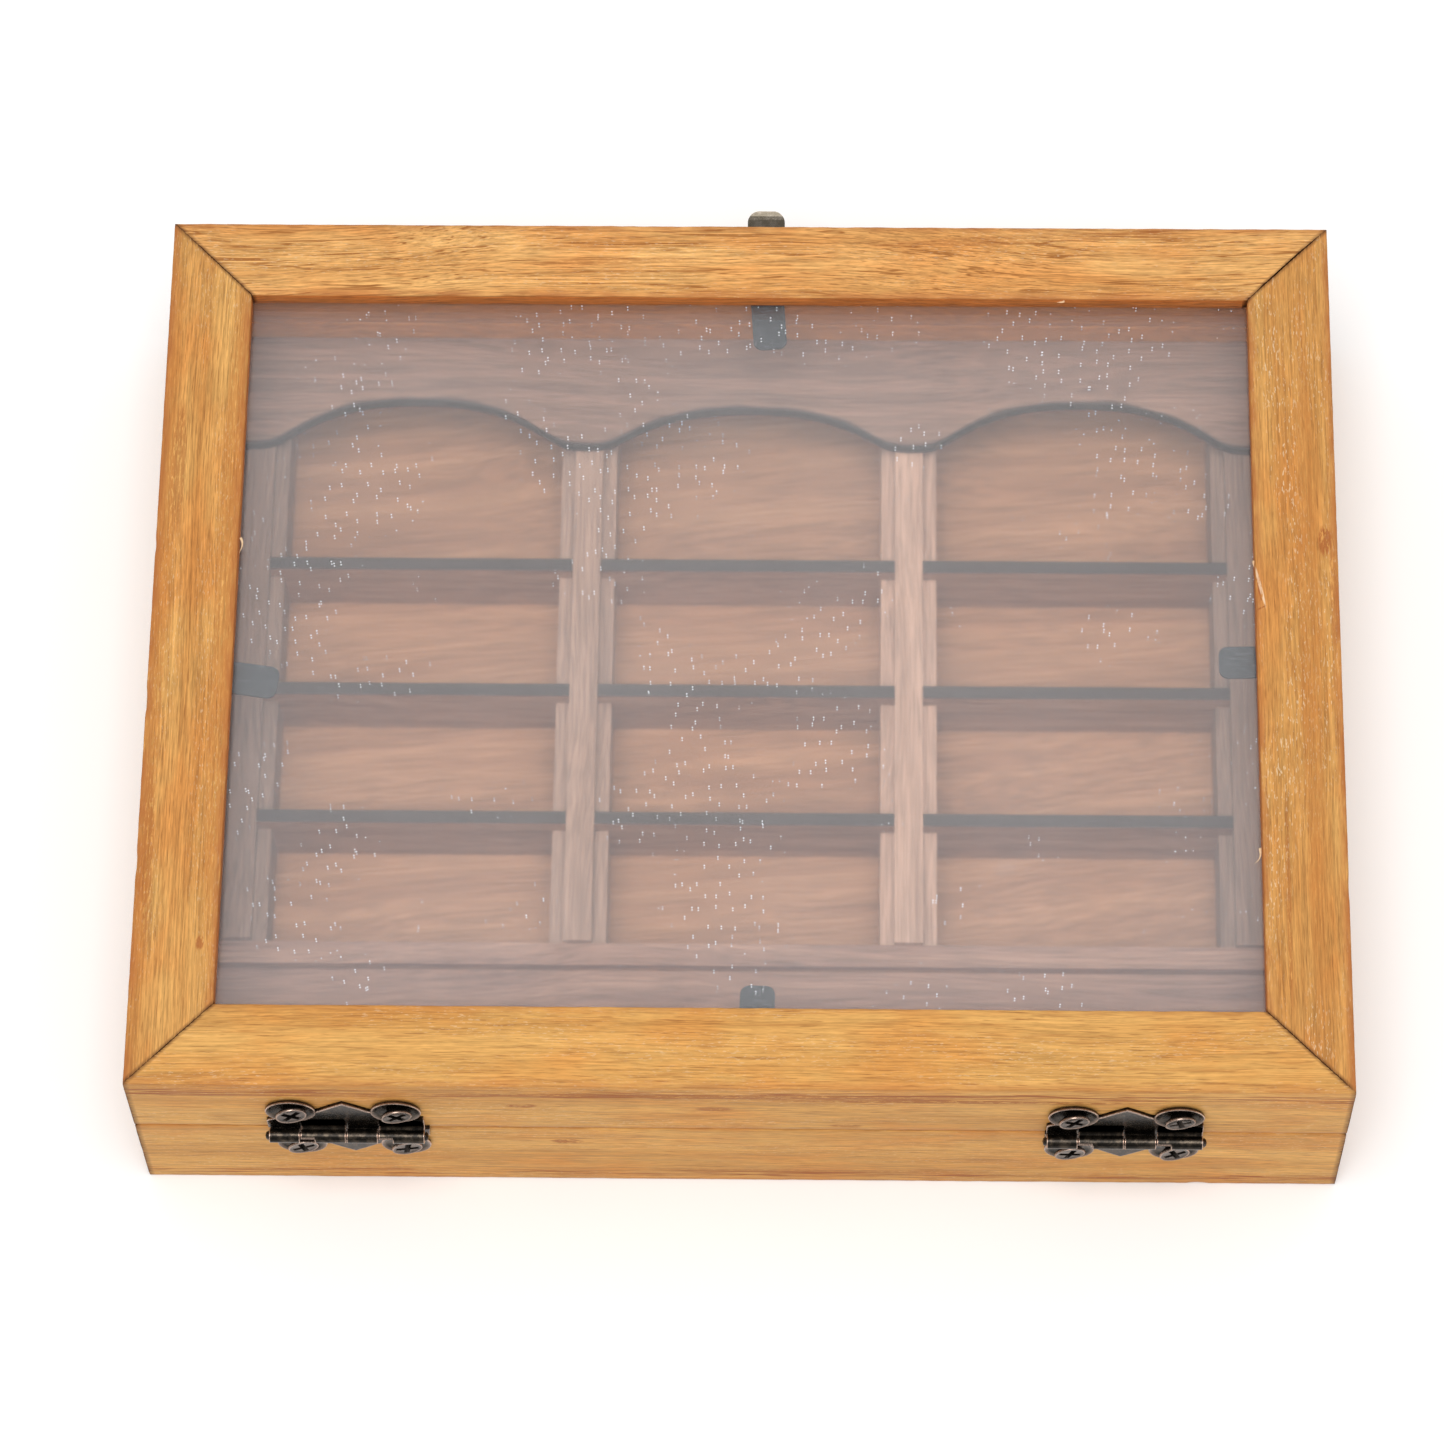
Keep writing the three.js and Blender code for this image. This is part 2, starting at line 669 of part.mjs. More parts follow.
const boxGroup = new THREE.Group();
boxGroup.add(
  ...boxWalls(),
  backPanel(),
  ...posts(),
  ...shelves(),
  header(),
  ...sillAndLedge(),
  ...HINGES.map((hinge) => part(`${hinge.hand}_hinge_box_leaf`, boxLeaf(hinge), bronze)),
  part("catch_plate", catchPlate(), bronze),
  ...screwsOf("box"),
);
for (const hinge of HINGES) {
  const pin = part(`${hinge.hand}_hinge_pin`, hingePin(), bronze);
  pin.position.set(hinge.x, HINGE_PIN.y, HINGE_PIN.z);
  boxGroup.add(pin);
}

const tongueGroup = new THREE.Group();
tongueGroup.add(part("latch_tongue", latchTongue(), bronze));

const lidGroup = new THREE.Group();
lidGroup.add(
  ...lidRails(),
  pane(),
  ...tabs(),
  ...HINGES.map((hinge) => part(`${hinge.hand}_hinge_lid_leaf`, lidLeaf(hinge), bronze)),
  part("latch_plate", lidLatchPlate(), bronze),
  part("latch_pin", latchPin(), bronze),
  ...screwsOf("lid"),
  tongueGroup,
);

const displayCase = new THREE.Group();
displayCase.add(boxGroup, lidGroup);

export default displayCase;
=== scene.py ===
"""Looks for the tabletop display case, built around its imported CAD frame.

Pieces take their places and overall sizes from the frame, apart from the splinters. Lengths are in
millimetres, and MM turns them into metres. Only the light is set out in metres. The wooden rails,
the arched header, the hinge leaves and the screws get finer meshes than the CAD has. Every other
CAD node keeps its shape, most with a small bevel, and takes a material from below.
"""

import math

import bmesh
import bpy
from mathutils import Matrix, Vector, noise


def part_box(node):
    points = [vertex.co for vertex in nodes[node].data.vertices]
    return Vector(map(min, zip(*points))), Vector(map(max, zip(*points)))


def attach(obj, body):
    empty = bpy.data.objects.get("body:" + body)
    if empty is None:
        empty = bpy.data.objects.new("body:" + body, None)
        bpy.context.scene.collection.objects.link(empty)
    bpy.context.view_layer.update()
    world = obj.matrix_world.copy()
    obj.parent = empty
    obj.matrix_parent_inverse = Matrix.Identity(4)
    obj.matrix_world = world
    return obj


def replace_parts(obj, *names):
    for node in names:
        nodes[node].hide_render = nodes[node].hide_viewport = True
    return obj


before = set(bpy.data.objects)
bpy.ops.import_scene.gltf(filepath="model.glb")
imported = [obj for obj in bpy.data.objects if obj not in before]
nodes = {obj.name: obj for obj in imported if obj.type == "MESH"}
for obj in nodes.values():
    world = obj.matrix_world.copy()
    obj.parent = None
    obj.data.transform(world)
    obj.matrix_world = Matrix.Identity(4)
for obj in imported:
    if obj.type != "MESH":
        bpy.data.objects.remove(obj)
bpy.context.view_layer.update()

MM = 0.001

# ---- Camera ----------------------------------------------------------------------------------

CAMERA_ELEVATION = 65.36
CAMERA_AZIMUTH = 2.53
CAMERA_ROLL = -1.92
CAMERA_DISTANCE = 1257.06
CAMERA_OFFSET = (-5.11, 5.82)
CAMERA_LENS = 143.52
CAMERA_SENSOR = 36


def make_camera():
    """The camera looks at the origin from above the near side, turned a little and shifted."""
    elevation = math.radians(CAMERA_ELEVATION)
    azimuth = math.radians(CAMERA_AZIMUTH)
    back = Vector(
        (
            math.sin(azimuth) * math.cos(elevation),
            -math.cos(azimuth) * math.cos(elevation),
            math.sin(elevation),
        )
    )
    right = Vector((math.cos(azimuth), math.sin(azimuth), 0))
    up = back.cross(right)
    place = back * CAMERA_DISTANCE + right * CAMERA_OFFSET[0] + up * CAMERA_OFFSET[1]
    roll = Matrix.Rotation(math.radians(CAMERA_ROLL), 3, back)
    turned = Matrix((roll @ right, roll @ up, back)).transposed()

    data = bpy.data.cameras.new("camera")
    data.lens = CAMERA_LENS
    data.sensor_width = CAMERA_SENSOR
    camera = bpy.data.objects.new("camera", data)
    camera.matrix_world = Matrix.Translation(place * MM) @ turned.to_4x4()
    bpy.context.scene.collection.objects.link(camera)
    bpy.context.scene.camera = camera


# ---- Materials -------------------------------------------------------------------------------


class Graph:
    """A material's node tree, with one short call for each kind of node used here."""

    def __init__(self, name):
        self.material = bpy.data.materials.new(name)
        self.material.use_nodes = True
        self.tree = self.material.node_tree
        self.tree.nodes.clear()

    def node(self, kind, **settings):
        made = self.tree.nodes.new("ShaderNode" + kind)
        for key, value in settings.items():
            setattr(made, key, value)
        return made

    def feed(self, socket, value):
        """Links an output to the socket, or sets a plain number, colour or vector on it."""
        if isinstance(value, bpy.types.NodeSocket):
            self.tree.links.new(value, socket)
        elif isinstance(value, (tuple, list)) and socket.type == "RGBA":
            socket.default_value = (*value[:3], 1)
        else:
            socket.default_value = value

    def coordinates(self):
        """The object's own coordinates, in millimetres."""
        texture = self.node("TexCoord")
        return self.stretched(texture.outputs["Object"], (1 / MM,) * 3)

    def stretched(self, vector, scale, shift=(0, 0, 0), turn=0):
        mapping = self.node("Mapping")
        self.feed(mapping.inputs["Vector"], vector)
        mapping.inputs["Scale"].default_value = scale
        mapping.inputs["Location"].default_value = shift
        mapping.inputs["Rotation"].default_value = (0, 0, turn)
        return mapping.outputs["Vector"]

    def noise(self, vector, scale=1.0, detail=2.0, roughness=0.5):
        made = self.node("TexNoise")
        self.feed(made.inputs["Vector"], vector)
        made.inputs["Scale"].default_value = scale
        made.inputs["Detail"].default_value = detail
        made.inputs["Roughness"].default_value = roughness
        return made.outputs[0]

    def ranged(self, value, low, high, to_low=0.0, to_high=1.0):
        made = self.node("MapRange", interpolation_type="SMOOTHSTEP")
        self.feed(made.inputs["Value"], value)
        made.inputs["From Min"].default_value = low
        made.inputs["From Max"].default_value = high
        made.inputs["To Min"].default_value = to_low
        made.inputs["To Max"].default_value = to_high
        return made.outputs["Result"]

    def maths(self, operation, first, second=0.0):
        made = self.node("Math", operation=operation)
        self.feed(made.inputs[0], first)
        self.feed(made.inputs[1], second)
        return made.outputs[0]

    def mixed(self, factor, first, second, blend="MIX"):
        made = self.node("Mix", data_type="RGBA", blend_type=blend)
        self.feed(made.inputs["Factor"], factor)
        self.feed(made.inputs[6], first)
        self.feed(made.inputs[7], second)
        return made.outputs[2]

    def warped(self, vector, by, amount):
        """The vector moved by a noise that runs from -amount to amount across the grain."""
        centred = self.maths("MULTIPLY", self.maths("SUBTRACT", by, 0.5), 2 * amount)
        offset = self.node("CombineXYZ")
        self.feed(offset.inputs["Y"], centred)
        self.feed(offset.inputs["Z"], centred)
        added = self.node("VectorMath", operation="ADD")
        self.feed(added.inputs[0], vector)
        self.feed(added.inputs[1], offset.outputs[0])
        return added.outputs[0]

    def brightened(self, colour, value):
        made = self.node("VectorMath", operation="SCALE")
        self.feed(made.inputs[0], colour)
        self.feed(made.inputs["Scale"], value)
        return made.outputs[0]

    def part(self, vector, axis):
        """One component of a vector."""
        split = self.node("SeparateXYZ")
        self.feed(split.inputs[0], vector)
        return split.outputs[axis]

    def object_normal(self, axis):
        """One component of the normal in the object's own space."""
        return self.part(self.node("TexCoord").outputs["Normal"], axis)

    def attribute(self, name):
        return self.node("Attribute", attribute_name=name).outputs["Fac"]

    def distance_to(self, vector, point):
        made = self.node("VectorMath", operation="DISTANCE")
        self.feed(made.inputs[0], vector)
        made.inputs[1].default_value = point
        return made.outputs["Value"]

    def bump(self, height, depth, strength=1.0):
        made = self.node("Bump")
        self.feed(made.inputs["Height"], height)
        made.inputs["Distance"].default_value = depth * MM
        made.inputs["Strength"].default_value = strength
        return made.outputs["Normal"]

    def principled(self, **inputs):
        made = self.node("BsdfPrincipled")
        for key, value in inputs.items():
            self.feed(made.inputs[key.replace("_", " ")], value)
        return made.outputs["BSDF"]

    def finish(self, shader):
        output = self.node("OutputMaterial")
        self.tree.links.new(shader, output.inputs["Surface"])
        return self.material


QUARTER_TURN = math.pi / 2


def along_grain(graph, along, seed):
    """Millimetre coordinates whose first axis runs along the grain, moved to its own place."""
    turn = -QUARTER_TURN if along == "Y" else 0
    point = graph.coordinates()
    return graph.stretched(point, (1, 1, 1), (17.3 * seed, 41.7 * seed, 5.9 * seed), turn)


def spot(graph, position, grain, centre, turn, half_length, half_width):
    """An oval mark: 1 inside, 0 outside and where the grain tears it. turn is degrees about Z."""
    moved = graph.stretched(position, (1, 1, 1), tuple(-c for c in centre))
    turned = graph.stretched(moved, (1, 1, 1), turn=-math.radians(turn))
    squeeze = (1 / half_length, 1 / half_width, 1 / half_width)
    reach = graph.distance_to(graph.stretched(turned, squeeze), (0, 0, 0))
    torn = graph.noise(graph.stretched(grain, (0.5, 2.6, 2.6)), detail=3, roughness=0.65)
    inside = graph.ranged(reach, 1.2, 0.7)
    return graph.maths("MULTIPLY", inside, graph.ranged(torn, 0.39, 0.49))


GRAIN_LINE = (0.36, 0.14, 0.035)
OPEN_PORE = (0.30, 0.11, 0.03)
PALE_FLECK = (0.93, 0.74, 0.50)
DARK_STREAK = (0.34, 0.10, 0.026)
RUBBED_EDGE = (0.42, 0.14, 0.04)
STAINED_PORE = (0.16, 0.05, 0.014)
MITRE_GAP = (0.12, 0.045, 0.015)
# painted shade colours for the faces under the flange
LIP_PAINTED_SHADE = (0.60, 0.17, 0.035)
WALL_PAINTED_SHADE = (0.44, 0.155, 0.04)
# painted shade on the flange's inner lip and the walls' inside faces, where the flange shades them:
# mesh attribute, colour, cover
PAINTED_SHADES = (("inner", LIP_PAINTED_SHADE, 0.8), ("inside", WALL_PAINTED_SHADE, 0.9))


def frame_wood(name, along, seed, look, marks):
    """Golden stained wood with a satin finish: bands, dark grain lines, pores and flecks."""
    graph = Graph(name)
    point = along_grain(graph, along, seed)
    drift = graph.noise(graph.stretched(point, (0.009, 0.012, 0.012)), detail=1)
    bent = graph.warped(point, drift, 10 * look["slant"])

    bands = graph.noise(graph.stretched(bent, (0.006, 0.16, 0.16)), detail=3, roughness=0.6)
    blotches = graph.noise(graph.stretched(point, (0.035, 0.09, 0.09)), detail=3, roughness=0.6)
    colour = graph.mixed(graph.ranged(bands, 0.3, 0.7), look["light"], look["deep"])
    orange = graph.ranged(blotches, 0.42, 0.68, 0.0, 0.6)
    colour = graph.mixed(orange, colour, look["orange"])

    fibres = graph.noise(graph.stretched(bent, (0.04, 2.2, 2.2)), detail=3, roughness=0.7)
    speckled = graph.stretched(bent, (0.24, 2.8, 2.8), (7, 2, 4))
    speckle = graph.noise(speckled, detail=2, roughness=0.7)
    depth = look["contrast"]
    grain = graph.maths("ADD", graph.ranged(fibres, 0.28, 0.72, -0.2 * depth, 0.16 * depth), 1)
    speckling = graph.ranged(speckle, 0.25, 0.75, -0.14 * depth, 0.14 * depth)
    grain = graph.maths("ADD", grain, speckling)
    colour = graph.brightened(colour, grain)

    rings = graph.noise(graph.stretched(bent, (0.012, 0.8, 0.8)), detail=2, roughness=0.4)
    crest = graph.maths("ABSOLUTE", graph.maths("SUBTRACT", rings, 0.5))
    broken = graph.noise(graph.stretched(point, (0.07, 0.5, 0.5), (9, 3, 0)), detail=2)
    line = graph.ranged(crest, 0.035, 0.005)
    line = graph.maths("MULTIPLY", line, graph.ranged(broken, 0.4, 0.55))
    colour = graph.mixed(graph.maths("MULTIPLY", line, look["lines"]), colour, GRAIN_LINE)

    pores = graph.noise(graph.stretched(bent, (0.14, 3.2, 3.2), (3, 7, 5)), detail=2, roughness=0.6)
    pore = graph.ranged(pores, 0.58, 0.72)
    colour = graph.mixed(graph.maths("MULTIPLY", pore, look["pores"]), colour, OPEN_PORE)

    specks = graph.noise(graph.stretched(point, (0.8, 3.2, 3.2), (5, 1, 8)), detail=2)
    where = graph.noise(graph.stretched(point, (0.02, 0.15, 0.15), (1, 6, 3)), detail=1)
    fleck = graph.maths("MULTIPLY", graph.ranged(specks, 0.58, 0.7), graph.ranged(where, 0.4, 0.62))
    colour = graph.mixed(graph.maths("MULTIPLY", fleck, look["flecks"]), colour, PALE_FLECK)

    position = graph.coordinates()
    if look["streak"]:
        low, high = look["streak"]
        height = graph.part(position, "Z")
        rise = graph.ranged(height, low - 1, low)
        fall = graph.ranged(height, high, high - 1)
        band = graph.maths("MULTIPLY", rise, fall)
        torn = graph.noise(graph.stretched(bent, (0.045, 1.9, 1.9), (2, 9, 6)), detail=4)
        band = graph.maths("MULTIPLY", band, graph.ranged(torn, 0.5, 0.55, 0.0, 0.9))
        colour = graph.mixed(band, colour, DARK_STREAK)
    for centre, turn, half_length, half_width, tint, amount in marks:
        mark = spot(graph, position, point, centre, turn, half_length, half_width)
        colour = graph.mixed(graph.maths("MULTIPLY", mark, amount), colour, tint)

    worn = graph.noise(graph.stretched(point, (0.12, 0.4, 0.4)), detail=3)
    edge = graph.maths("MULTIPLY", graph.attribute("edge"), graph.ranged(worn, 0.3, 0.65, 0.2, 1.0))
    colour = graph.mixed(graph.maths("MULTIPLY", edge, look["edges"]), colour, RUBBED_EDGE)
    # painted shade: the flange's inner lip and the walls' inside faces are darkened where the
    # flange shades them
    for attribute, shade_tint, cover in PAINTED_SHADES:
        stained = graph.brightened(shade_tint, grain)
        stained = graph.mixed(graph.maths("MULTIPLY", pore, 0.5), stained, STAINED_PORE)
        here = graph.maths("MULTIPLY", graph.attribute(attribute), cover)
        colour = graph.mixed(here, colour, stained)
    joint = graph.attribute("mitre")
    joint = graph.maths("MULTIPLY", joint, graph.ranged(speckle, 0.3, 0.6, 0.3, 1))
    colour = graph.mixed(joint, colour, MITRE_GAP)

    relief = graph.maths("SUBTRACT", graph.maths("MULTIPLY", speckle, 0.6), pore)
    relief = graph.maths("SUBTRACT", relief, graph.maths("MULTIPLY", line, 0.4))
    shader = graph.principled(
        Base_Color=colour,
        Roughness=graph.ranged(fibres, 0.3, 0.7, 0.42, 0.6),
        Normal=graph.bump(relief, 0.06, 0.7),
        Specular_IOR_Level=0.12,
    )
    return graph.finish(shader)


CHAR = (0.018, 0.012, 0.01)


def rack_wood(name, along, seed, light, dark, charred=None, slant=0):
    """Brown stained thin board. Faces that look along the charred axis are laser-cut edges."""
    graph = Graph(name)
    point = along_grain(graph, along, seed)
    point = graph.stretched(point, (1, 1, 1), turn=-math.radians(slant))
    drift = graph.noise(graph.stretched(point, (0.01, 0.03, 0.03)), detail=1)
    bent = graph.warped(point, drift, 6)
    bands = graph.noise(graph.stretched(bent, (0.008, 0.22, 0.22)), detail=4, roughness=0.65)
    fibres = graph.noise(graph.stretched(bent, (0.06, 2.4, 2.4)), detail=3, roughness=0.6)
    colour = graph.mixed(graph.ranged(bands, 0.25, 0.75), light, dark)
    colour = graph.brightened(colour, graph.ranged(fibres, 0.3, 0.7, 1.24, 0.74))
    soot = graph.attribute("soot")
    if charred is not None:
        normal = graph.maths("ABSOLUTE", graph.object_normal(charred))
        soot = graph.maths("MAXIMUM", soot, graph.ranged(normal, 0.35, 0.8))
    colour = graph.mixed(graph.maths("MULTIPLY", soot, 0.93), colour, CHAR)
    shader = graph.principled(
        Base_Color=colour,
        Roughness=graph.ranged(fibres, 0.3, 0.7, 0.55, 0.75),
        Normal=graph.bump(fibres, 0.05, 0.6),
    )
    return graph.finish(shader)


THUMB_MARK = (54.5, -49.5, 50)
DUST_CELLS_PER_MM = 0.3
DUST_EDGE = (0.06, 0.037)
DUST_COVER = 0.8
HAZE = (0.049, 0.066)
# share of the haze left at the far edge: painted shade from the far flange
FAR_HAZE_PAINTED_SHADE = 0.6
MILKY_WHITE = (0.86, 0.88, 0.92)


def clear_pane():
    """A thin acrylic sheet: nearly clear, with a milky haze, fine dust and one faint fingermark.
    The haze thins towards the far edge as painted shade from the far flange.
    """
    graph = Graph("hazy_acrylic")
    point = graph.coordinates()
    cloud = graph.noise(graph.stretched(point, (0.015, 0.015, 0.015)), detail=3)
    dust = graph.node("TexVoronoi", voronoi_dimensions="2D", feature="F1")
    graph.feed(dust.inputs["Vector"], point)
    dust.inputs["Scale"].default_value = DUST_CELLS_PER_MM
    speck = graph.ranged(dust.outputs["Distance"], *DUST_EDGE)
    kept = graph.noise(graph.stretched(point, (0.05, 0.05, 0.05), (11, 4, 0)), detail=1)
    speck = graph.maths("MULTIPLY", speck, graph.ranged(kept, 0.48, 0.62))
    on_top = graph.ranged(graph.object_normal("Z"), 0.4, 0.6)
    speck = graph.maths("MULTIPLY", speck, on_top)
    haze = graph.ranged(cloud, 0.3, 0.7, *HAZE)
    # painted shade: the haze thins towards the far edge, where the far flange shades the pane
    flange_shade = graph.ranged(graph.part(point, "Y"), 60, 84, 1.0, FAR_HAZE_PAINTED_SHADE)
    haze = graph.maths("MULTIPLY", haze, flange_shade)
    thumb = spot(graph, point, point, THUMB_MARK, 20, 2.6, 1.7)
    haze = graph.maths("ADD", haze, graph.maths("MULTIPLY", thumb, 0.05))
    cover = graph.maths("MAXIMUM", haze, graph.maths("MULTIPLY", speck, DUST_COVER))

    glass = graph.principled(
        Base_Color=(0.95, 0.96, 0.97),
        Roughness=0.08,
        IOR=1.49,
        Transmission_Weight=1.0,
    )
    milk = graph.node("BsdfDiffuse")
    milk.inputs["Color"].default_value = (*MILKY_WHITE, 1)
    veiled = graph.node("MixShader")
    graph.feed(veiled.inputs[0], cover)
    graph.feed(veiled.inputs[1], glass)
    graph.feed(veiled.inputs[2], milk.outputs[0])

    lamps = graph.node("BsdfTransparent")
    lamps.inputs["Color"].default_value = (0.9, 0.9, 0.9, 1)
    surface = graph.node("MixShader")
    graph.feed(surface.inputs[0], graph.node("LightPath").outputs["Is Shadow Ray"])
    graph.feed(surface.inputs[1], veiled.outputs[0])
    graph.feed(surface.inputs[2], lamps.outputs[0])
    return graph.finish(surface.outputs[0])


BRIGHT_BRONZE = (0.55, 0.40, 0.32)
STEEL = (0.014, 0.015, 0.017)
SCUFFED_STEEL = (0.075, 0.082, 0.09)


def antique_bronze(name, patina, rubbed, shine):
    """Blackened bronze, rubbed back to warmer metal in patches and bright along its edges."""
    graph = Graph(name)
    point = graph.coordinates()
    patches = graph.noise(point, 0.7, 4, 0.6)
    grain = graph.noise(point, 4.0, 3, 0.6)
    colour = graph.mixed(graph.ranged(patches, 0.42, 0.66), patina, rubbed)
    wear = graph.attribute("edge")
    wear = graph.maths("MULTIPLY", wear, graph.ranged(grain, 0.25, 0.6, 0.35, 1.0))
    colour = graph.mixed(wear, colour, BRIGHT_BRONZE)
    shader = graph.principled(
        Base_Color=colour,
        Metallic=shine,
        Roughness=graph.ranged(grain, 0.3, 0.7, 0.19, 0.29),
        Normal=graph.bump(grain, 0.016, 0.5),
    )
    return graph.finish(shader)


def black_steel():
    """Thin blackened steel strip with faint scuffs."""
    graph = Graph("black_steel")
    point = graph.coordinates()
    scuffs = graph.noise(graph.stretched(point, (0.6, 3, 3), turn=0.4), detail=3)
    colour = graph.mixed(graph.ranged(scuffs, 0.5, 0.72), STEEL, SCUFFED_STEEL)
    shader = graph.principled(
        Base_Color=colour,
        Metallic=0.4,
        Roughness=graph.ranged(scuffs, 0.3, 0.7, 0.38, 0.55),
        Normal=graph.bump(scuffs, 0.02, 0.4),
    )
    return graph.finish(shader)


def bare_fibre():
    """Pale torn wood, for splinters."""
    graph = Graph("bare_fibre")
    streaks = graph.noise(graph.coordinates(), 2.0, 3)
    colour = graph.mixed(streaks, (0.88, 0.66, 0.42), (0.70, 0.42, 0.20))
    return graph.finish(graph.principled(Base_Color=colour, Roughness=0.7))


def plain_floor():
    graph = Graph("floor")
    tint = graph.noise(graph.coordinates(), 0.004, 2)
    colour = graph.mixed(tint, (0.965, 0.965, 0.965), (0.98, 0.98, 0.98))
    return graph.finish(graph.principled(Base_Color=colour, Roughness=0.8))


# ---- Mesh helpers ----------------------------------------------------------------------------


def new_piece(name, bm, material, body, smooth=40):
    """Makes an object from a bmesh drawn in millimetres, smooth up to an angle, on a body."""
    mesh = bpy.data.meshes.new(name)
    bmesh.ops.recalc_face_normals(bm, faces=bm.faces)
    bmesh.ops.scale(bm, vec=(MM, MM, MM), verts=bm.verts)
    bm.to_mesh(mesh)
    bm.free()
    smooth_by_angle(mesh, smooth)
    piece = bpy.data.objects.new(name, mesh)
    bpy.context.scene.collection.objects.link(piece)
    mesh.materials.append(material)
    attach(piece, body)
    return piece


def smooth_by_angle(mesh, degrees):
    mesh.shade_smooth()
    mesh.set_sharp_from_angle(angle=math.radians(degrees))


def bevelled(piece, width, segments=2, angle=35):
    bevel = piece.modifiers.new("bevel", "BEVEL")
    bevel.width = width * MM
    bevel.segments = segments
    bevel.limit_method = "ANGLE"
    bevel.angle_limit = math.radians(angle)
    bevel.harden_normals = False


def dress(name, material, bevel=0.25):
    """Keeps a CAD node's shape: gives it a material, softened edges and smooth round faces."""
    node = nodes[name]
    node.data.materials.clear()
    node.data.materials.append(material)
    flatten = node.modifiers.new("flatten", "DECIMATE")
    flatten.decimate_type = "DISSOLVE"
    flatten.angle_limit = math.radians(1)
    if bevel:
        bevelled(node, bevel)
    smooth_by_angle(node.data, 30)


def on_nodes(prefix):
    return sorted(name for name in nodes if name.startswith(prefix))


# ---- Rails -----------------------------------------------------------------------------------

CORNER_RADIUS = 0.45
CORNER_STEPS = 3
SECTION_SPACING = 1.6
RAIL_SPACING = 1.2
EDGE_REACH = 1.3
MITRE_REACH = 0.15
MITRE_CLOSING = 0.2
FLANGE_START = 13
FRAY = 0.3
DEEP_FRAY = 1.5
CHIPPED_END = ("lid_far_rail", 0)


def rounded_section(corners):
    """A closed section with small round corners and even points, as (inset, height, edge) rows.

    edge is 1 on a rounded corner and falls to 0 along the flats."""
    count = len(corners)
    rows = []
    for i, corner in enumerate(corners):
        here = Vector(corner)
        before = Vector(corners[i - 1])
        after = Vector(corners[(i + 1) % count])
        into = (before - here).normalized()
        out = (after - here).normalized()
        centre = here + (into + out) * CORNER_RADIUS
        turn = 1 if into.cross(out) < 0 else -1
        start = here + into * CORNER_RADIUS - centre
        for step in range(CORNER_STEPS + 1):
            angle = turn * QUARTER_TURN * step / CORNER_STEPS
            rows.append((*(centre + Matrix.Rotation(angle, 2) @ start), 1.0))
        flat_start = here + out * CORNER_RADIUS
        flat = after - out * CORNER_RADIUS - flat_start
        pieces = max(2, round(flat.length / SECTION_SPACING))
        for step in range(1, pieces):
            at = flat_start + flat * step / pieces
            reach = min(step, pieces - step) * flat.length / pieces
            rows.append((at.x, at.y, max(0.0, 1 - reach / EDGE_REACH)))
    return rows


def rail(name, side, corners, material, body, seed, dents=()):
    """A mitred rail swept from its section, with soft uneven edges and a few dents.

    corners are (distance in from the outer face, height). dents are (along, height, radius, depth)
    on the outer face's edges."""
    low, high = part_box(name)
    length = (high.x - low.x if side in ("near", "far") else high.y - low.y) / MM
    outer = {"near": -low.y, "far": high.y, "left": -low.x, "right": high.x}[side] / MM
    turn = {"near": 0, "right": 1, "far": 2, "left": 3}[side] * QUARTER_TURN
    rotation = Matrix.Rotation(turn, 3, "Z")
    rows = rounded_section(corners)
    steps = round(length / RAIL_SPACING)

    depth = max(inset for inset, height in corners)
    top = max(height for inset, height in corners)

    bm = bmesh.new()
    edge_layer = bm.verts.layers.float.new("edge")
    mitre_layer = bm.verts.layers.float.new("mitre")
    lip_shade_layer = bm.verts.layers.float.new("inner")
    wall_shade_layer = bm.verts.layers.float.new("inside")
    middle = Vector((corners[1][0] / 2, (corners[0][1] + corners[-1][1]) / 2))
    rings = []
    for step in range(steps + 1):
        share = step / steps - 0.5
        ring = []
        for inset, height, edge in rows:
            run = length - 2 * inset + MITRE_CLOSING
            along = share * run
            to_end = run / 2 - abs(along)
            jitter = noise.noise(Vector((along * 0.35, inset * 2 + seed, height * 2)))
            sink = edge * (0.1 + 0.1 * jitter)
            for dent_along, dent_height, radius, dent_depth in dents:
                away = math.hypot(along - dent_along, height - dent_height, inset)
                sink += edge * dent_depth * max(0.0, 1 - (away / radius) ** 2)
            if step in (0, steps):
                deep = DEEP_FRAY if (name, step) == CHIPPED_END else FRAY
                fray = noise.noise(Vector((inset * 2.3, height * 1.7, seed + 3)))
                along -= math.copysign(deep * max(0.0, fray), share)
            inward = Vector((middle.x - inset, middle.y - height)).normalized() * sink
            place = Vector((along, inset + inward.x - outer, height + inward.y))
            vertex = bm.verts.new(rotation @ place)
            vertex[edge_layer] = edge
            vertex[mitre_layer] = max(0.0, 1 - to_end / MITRE_REACH)
            # masks for painted shade: the flange's inner lip and the walls' inside faces
            on_rim = inset > FLANGE_START and inset > depth - CORNER_RADIUS
            vertex[lip_shade_layer] = float(on_rim and height < top - 0.3)
            on_wall = corners[1][0] - CORNER_RADIUS * 1.1 < inset < FLANGE_START
            vertex[wall_shade_layer] = float(on_wall and (body == "box" or height < top - 1))
            ring.append(vertex)
        rings.append(ring)
    for before, after in zip(rings, rings[1:]):
        for i in range(len(rows)):
            j = (i + 1) % len(rows)
            bm.faces.new((before[i], before[j], after[j], after[i]))
    bm.faces.new(rings[0])
    bm.faces.new(rings[-1])
    piece = new_piece(name + "_wood", bm, material, body, smooth=50)
    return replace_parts(piece, name)


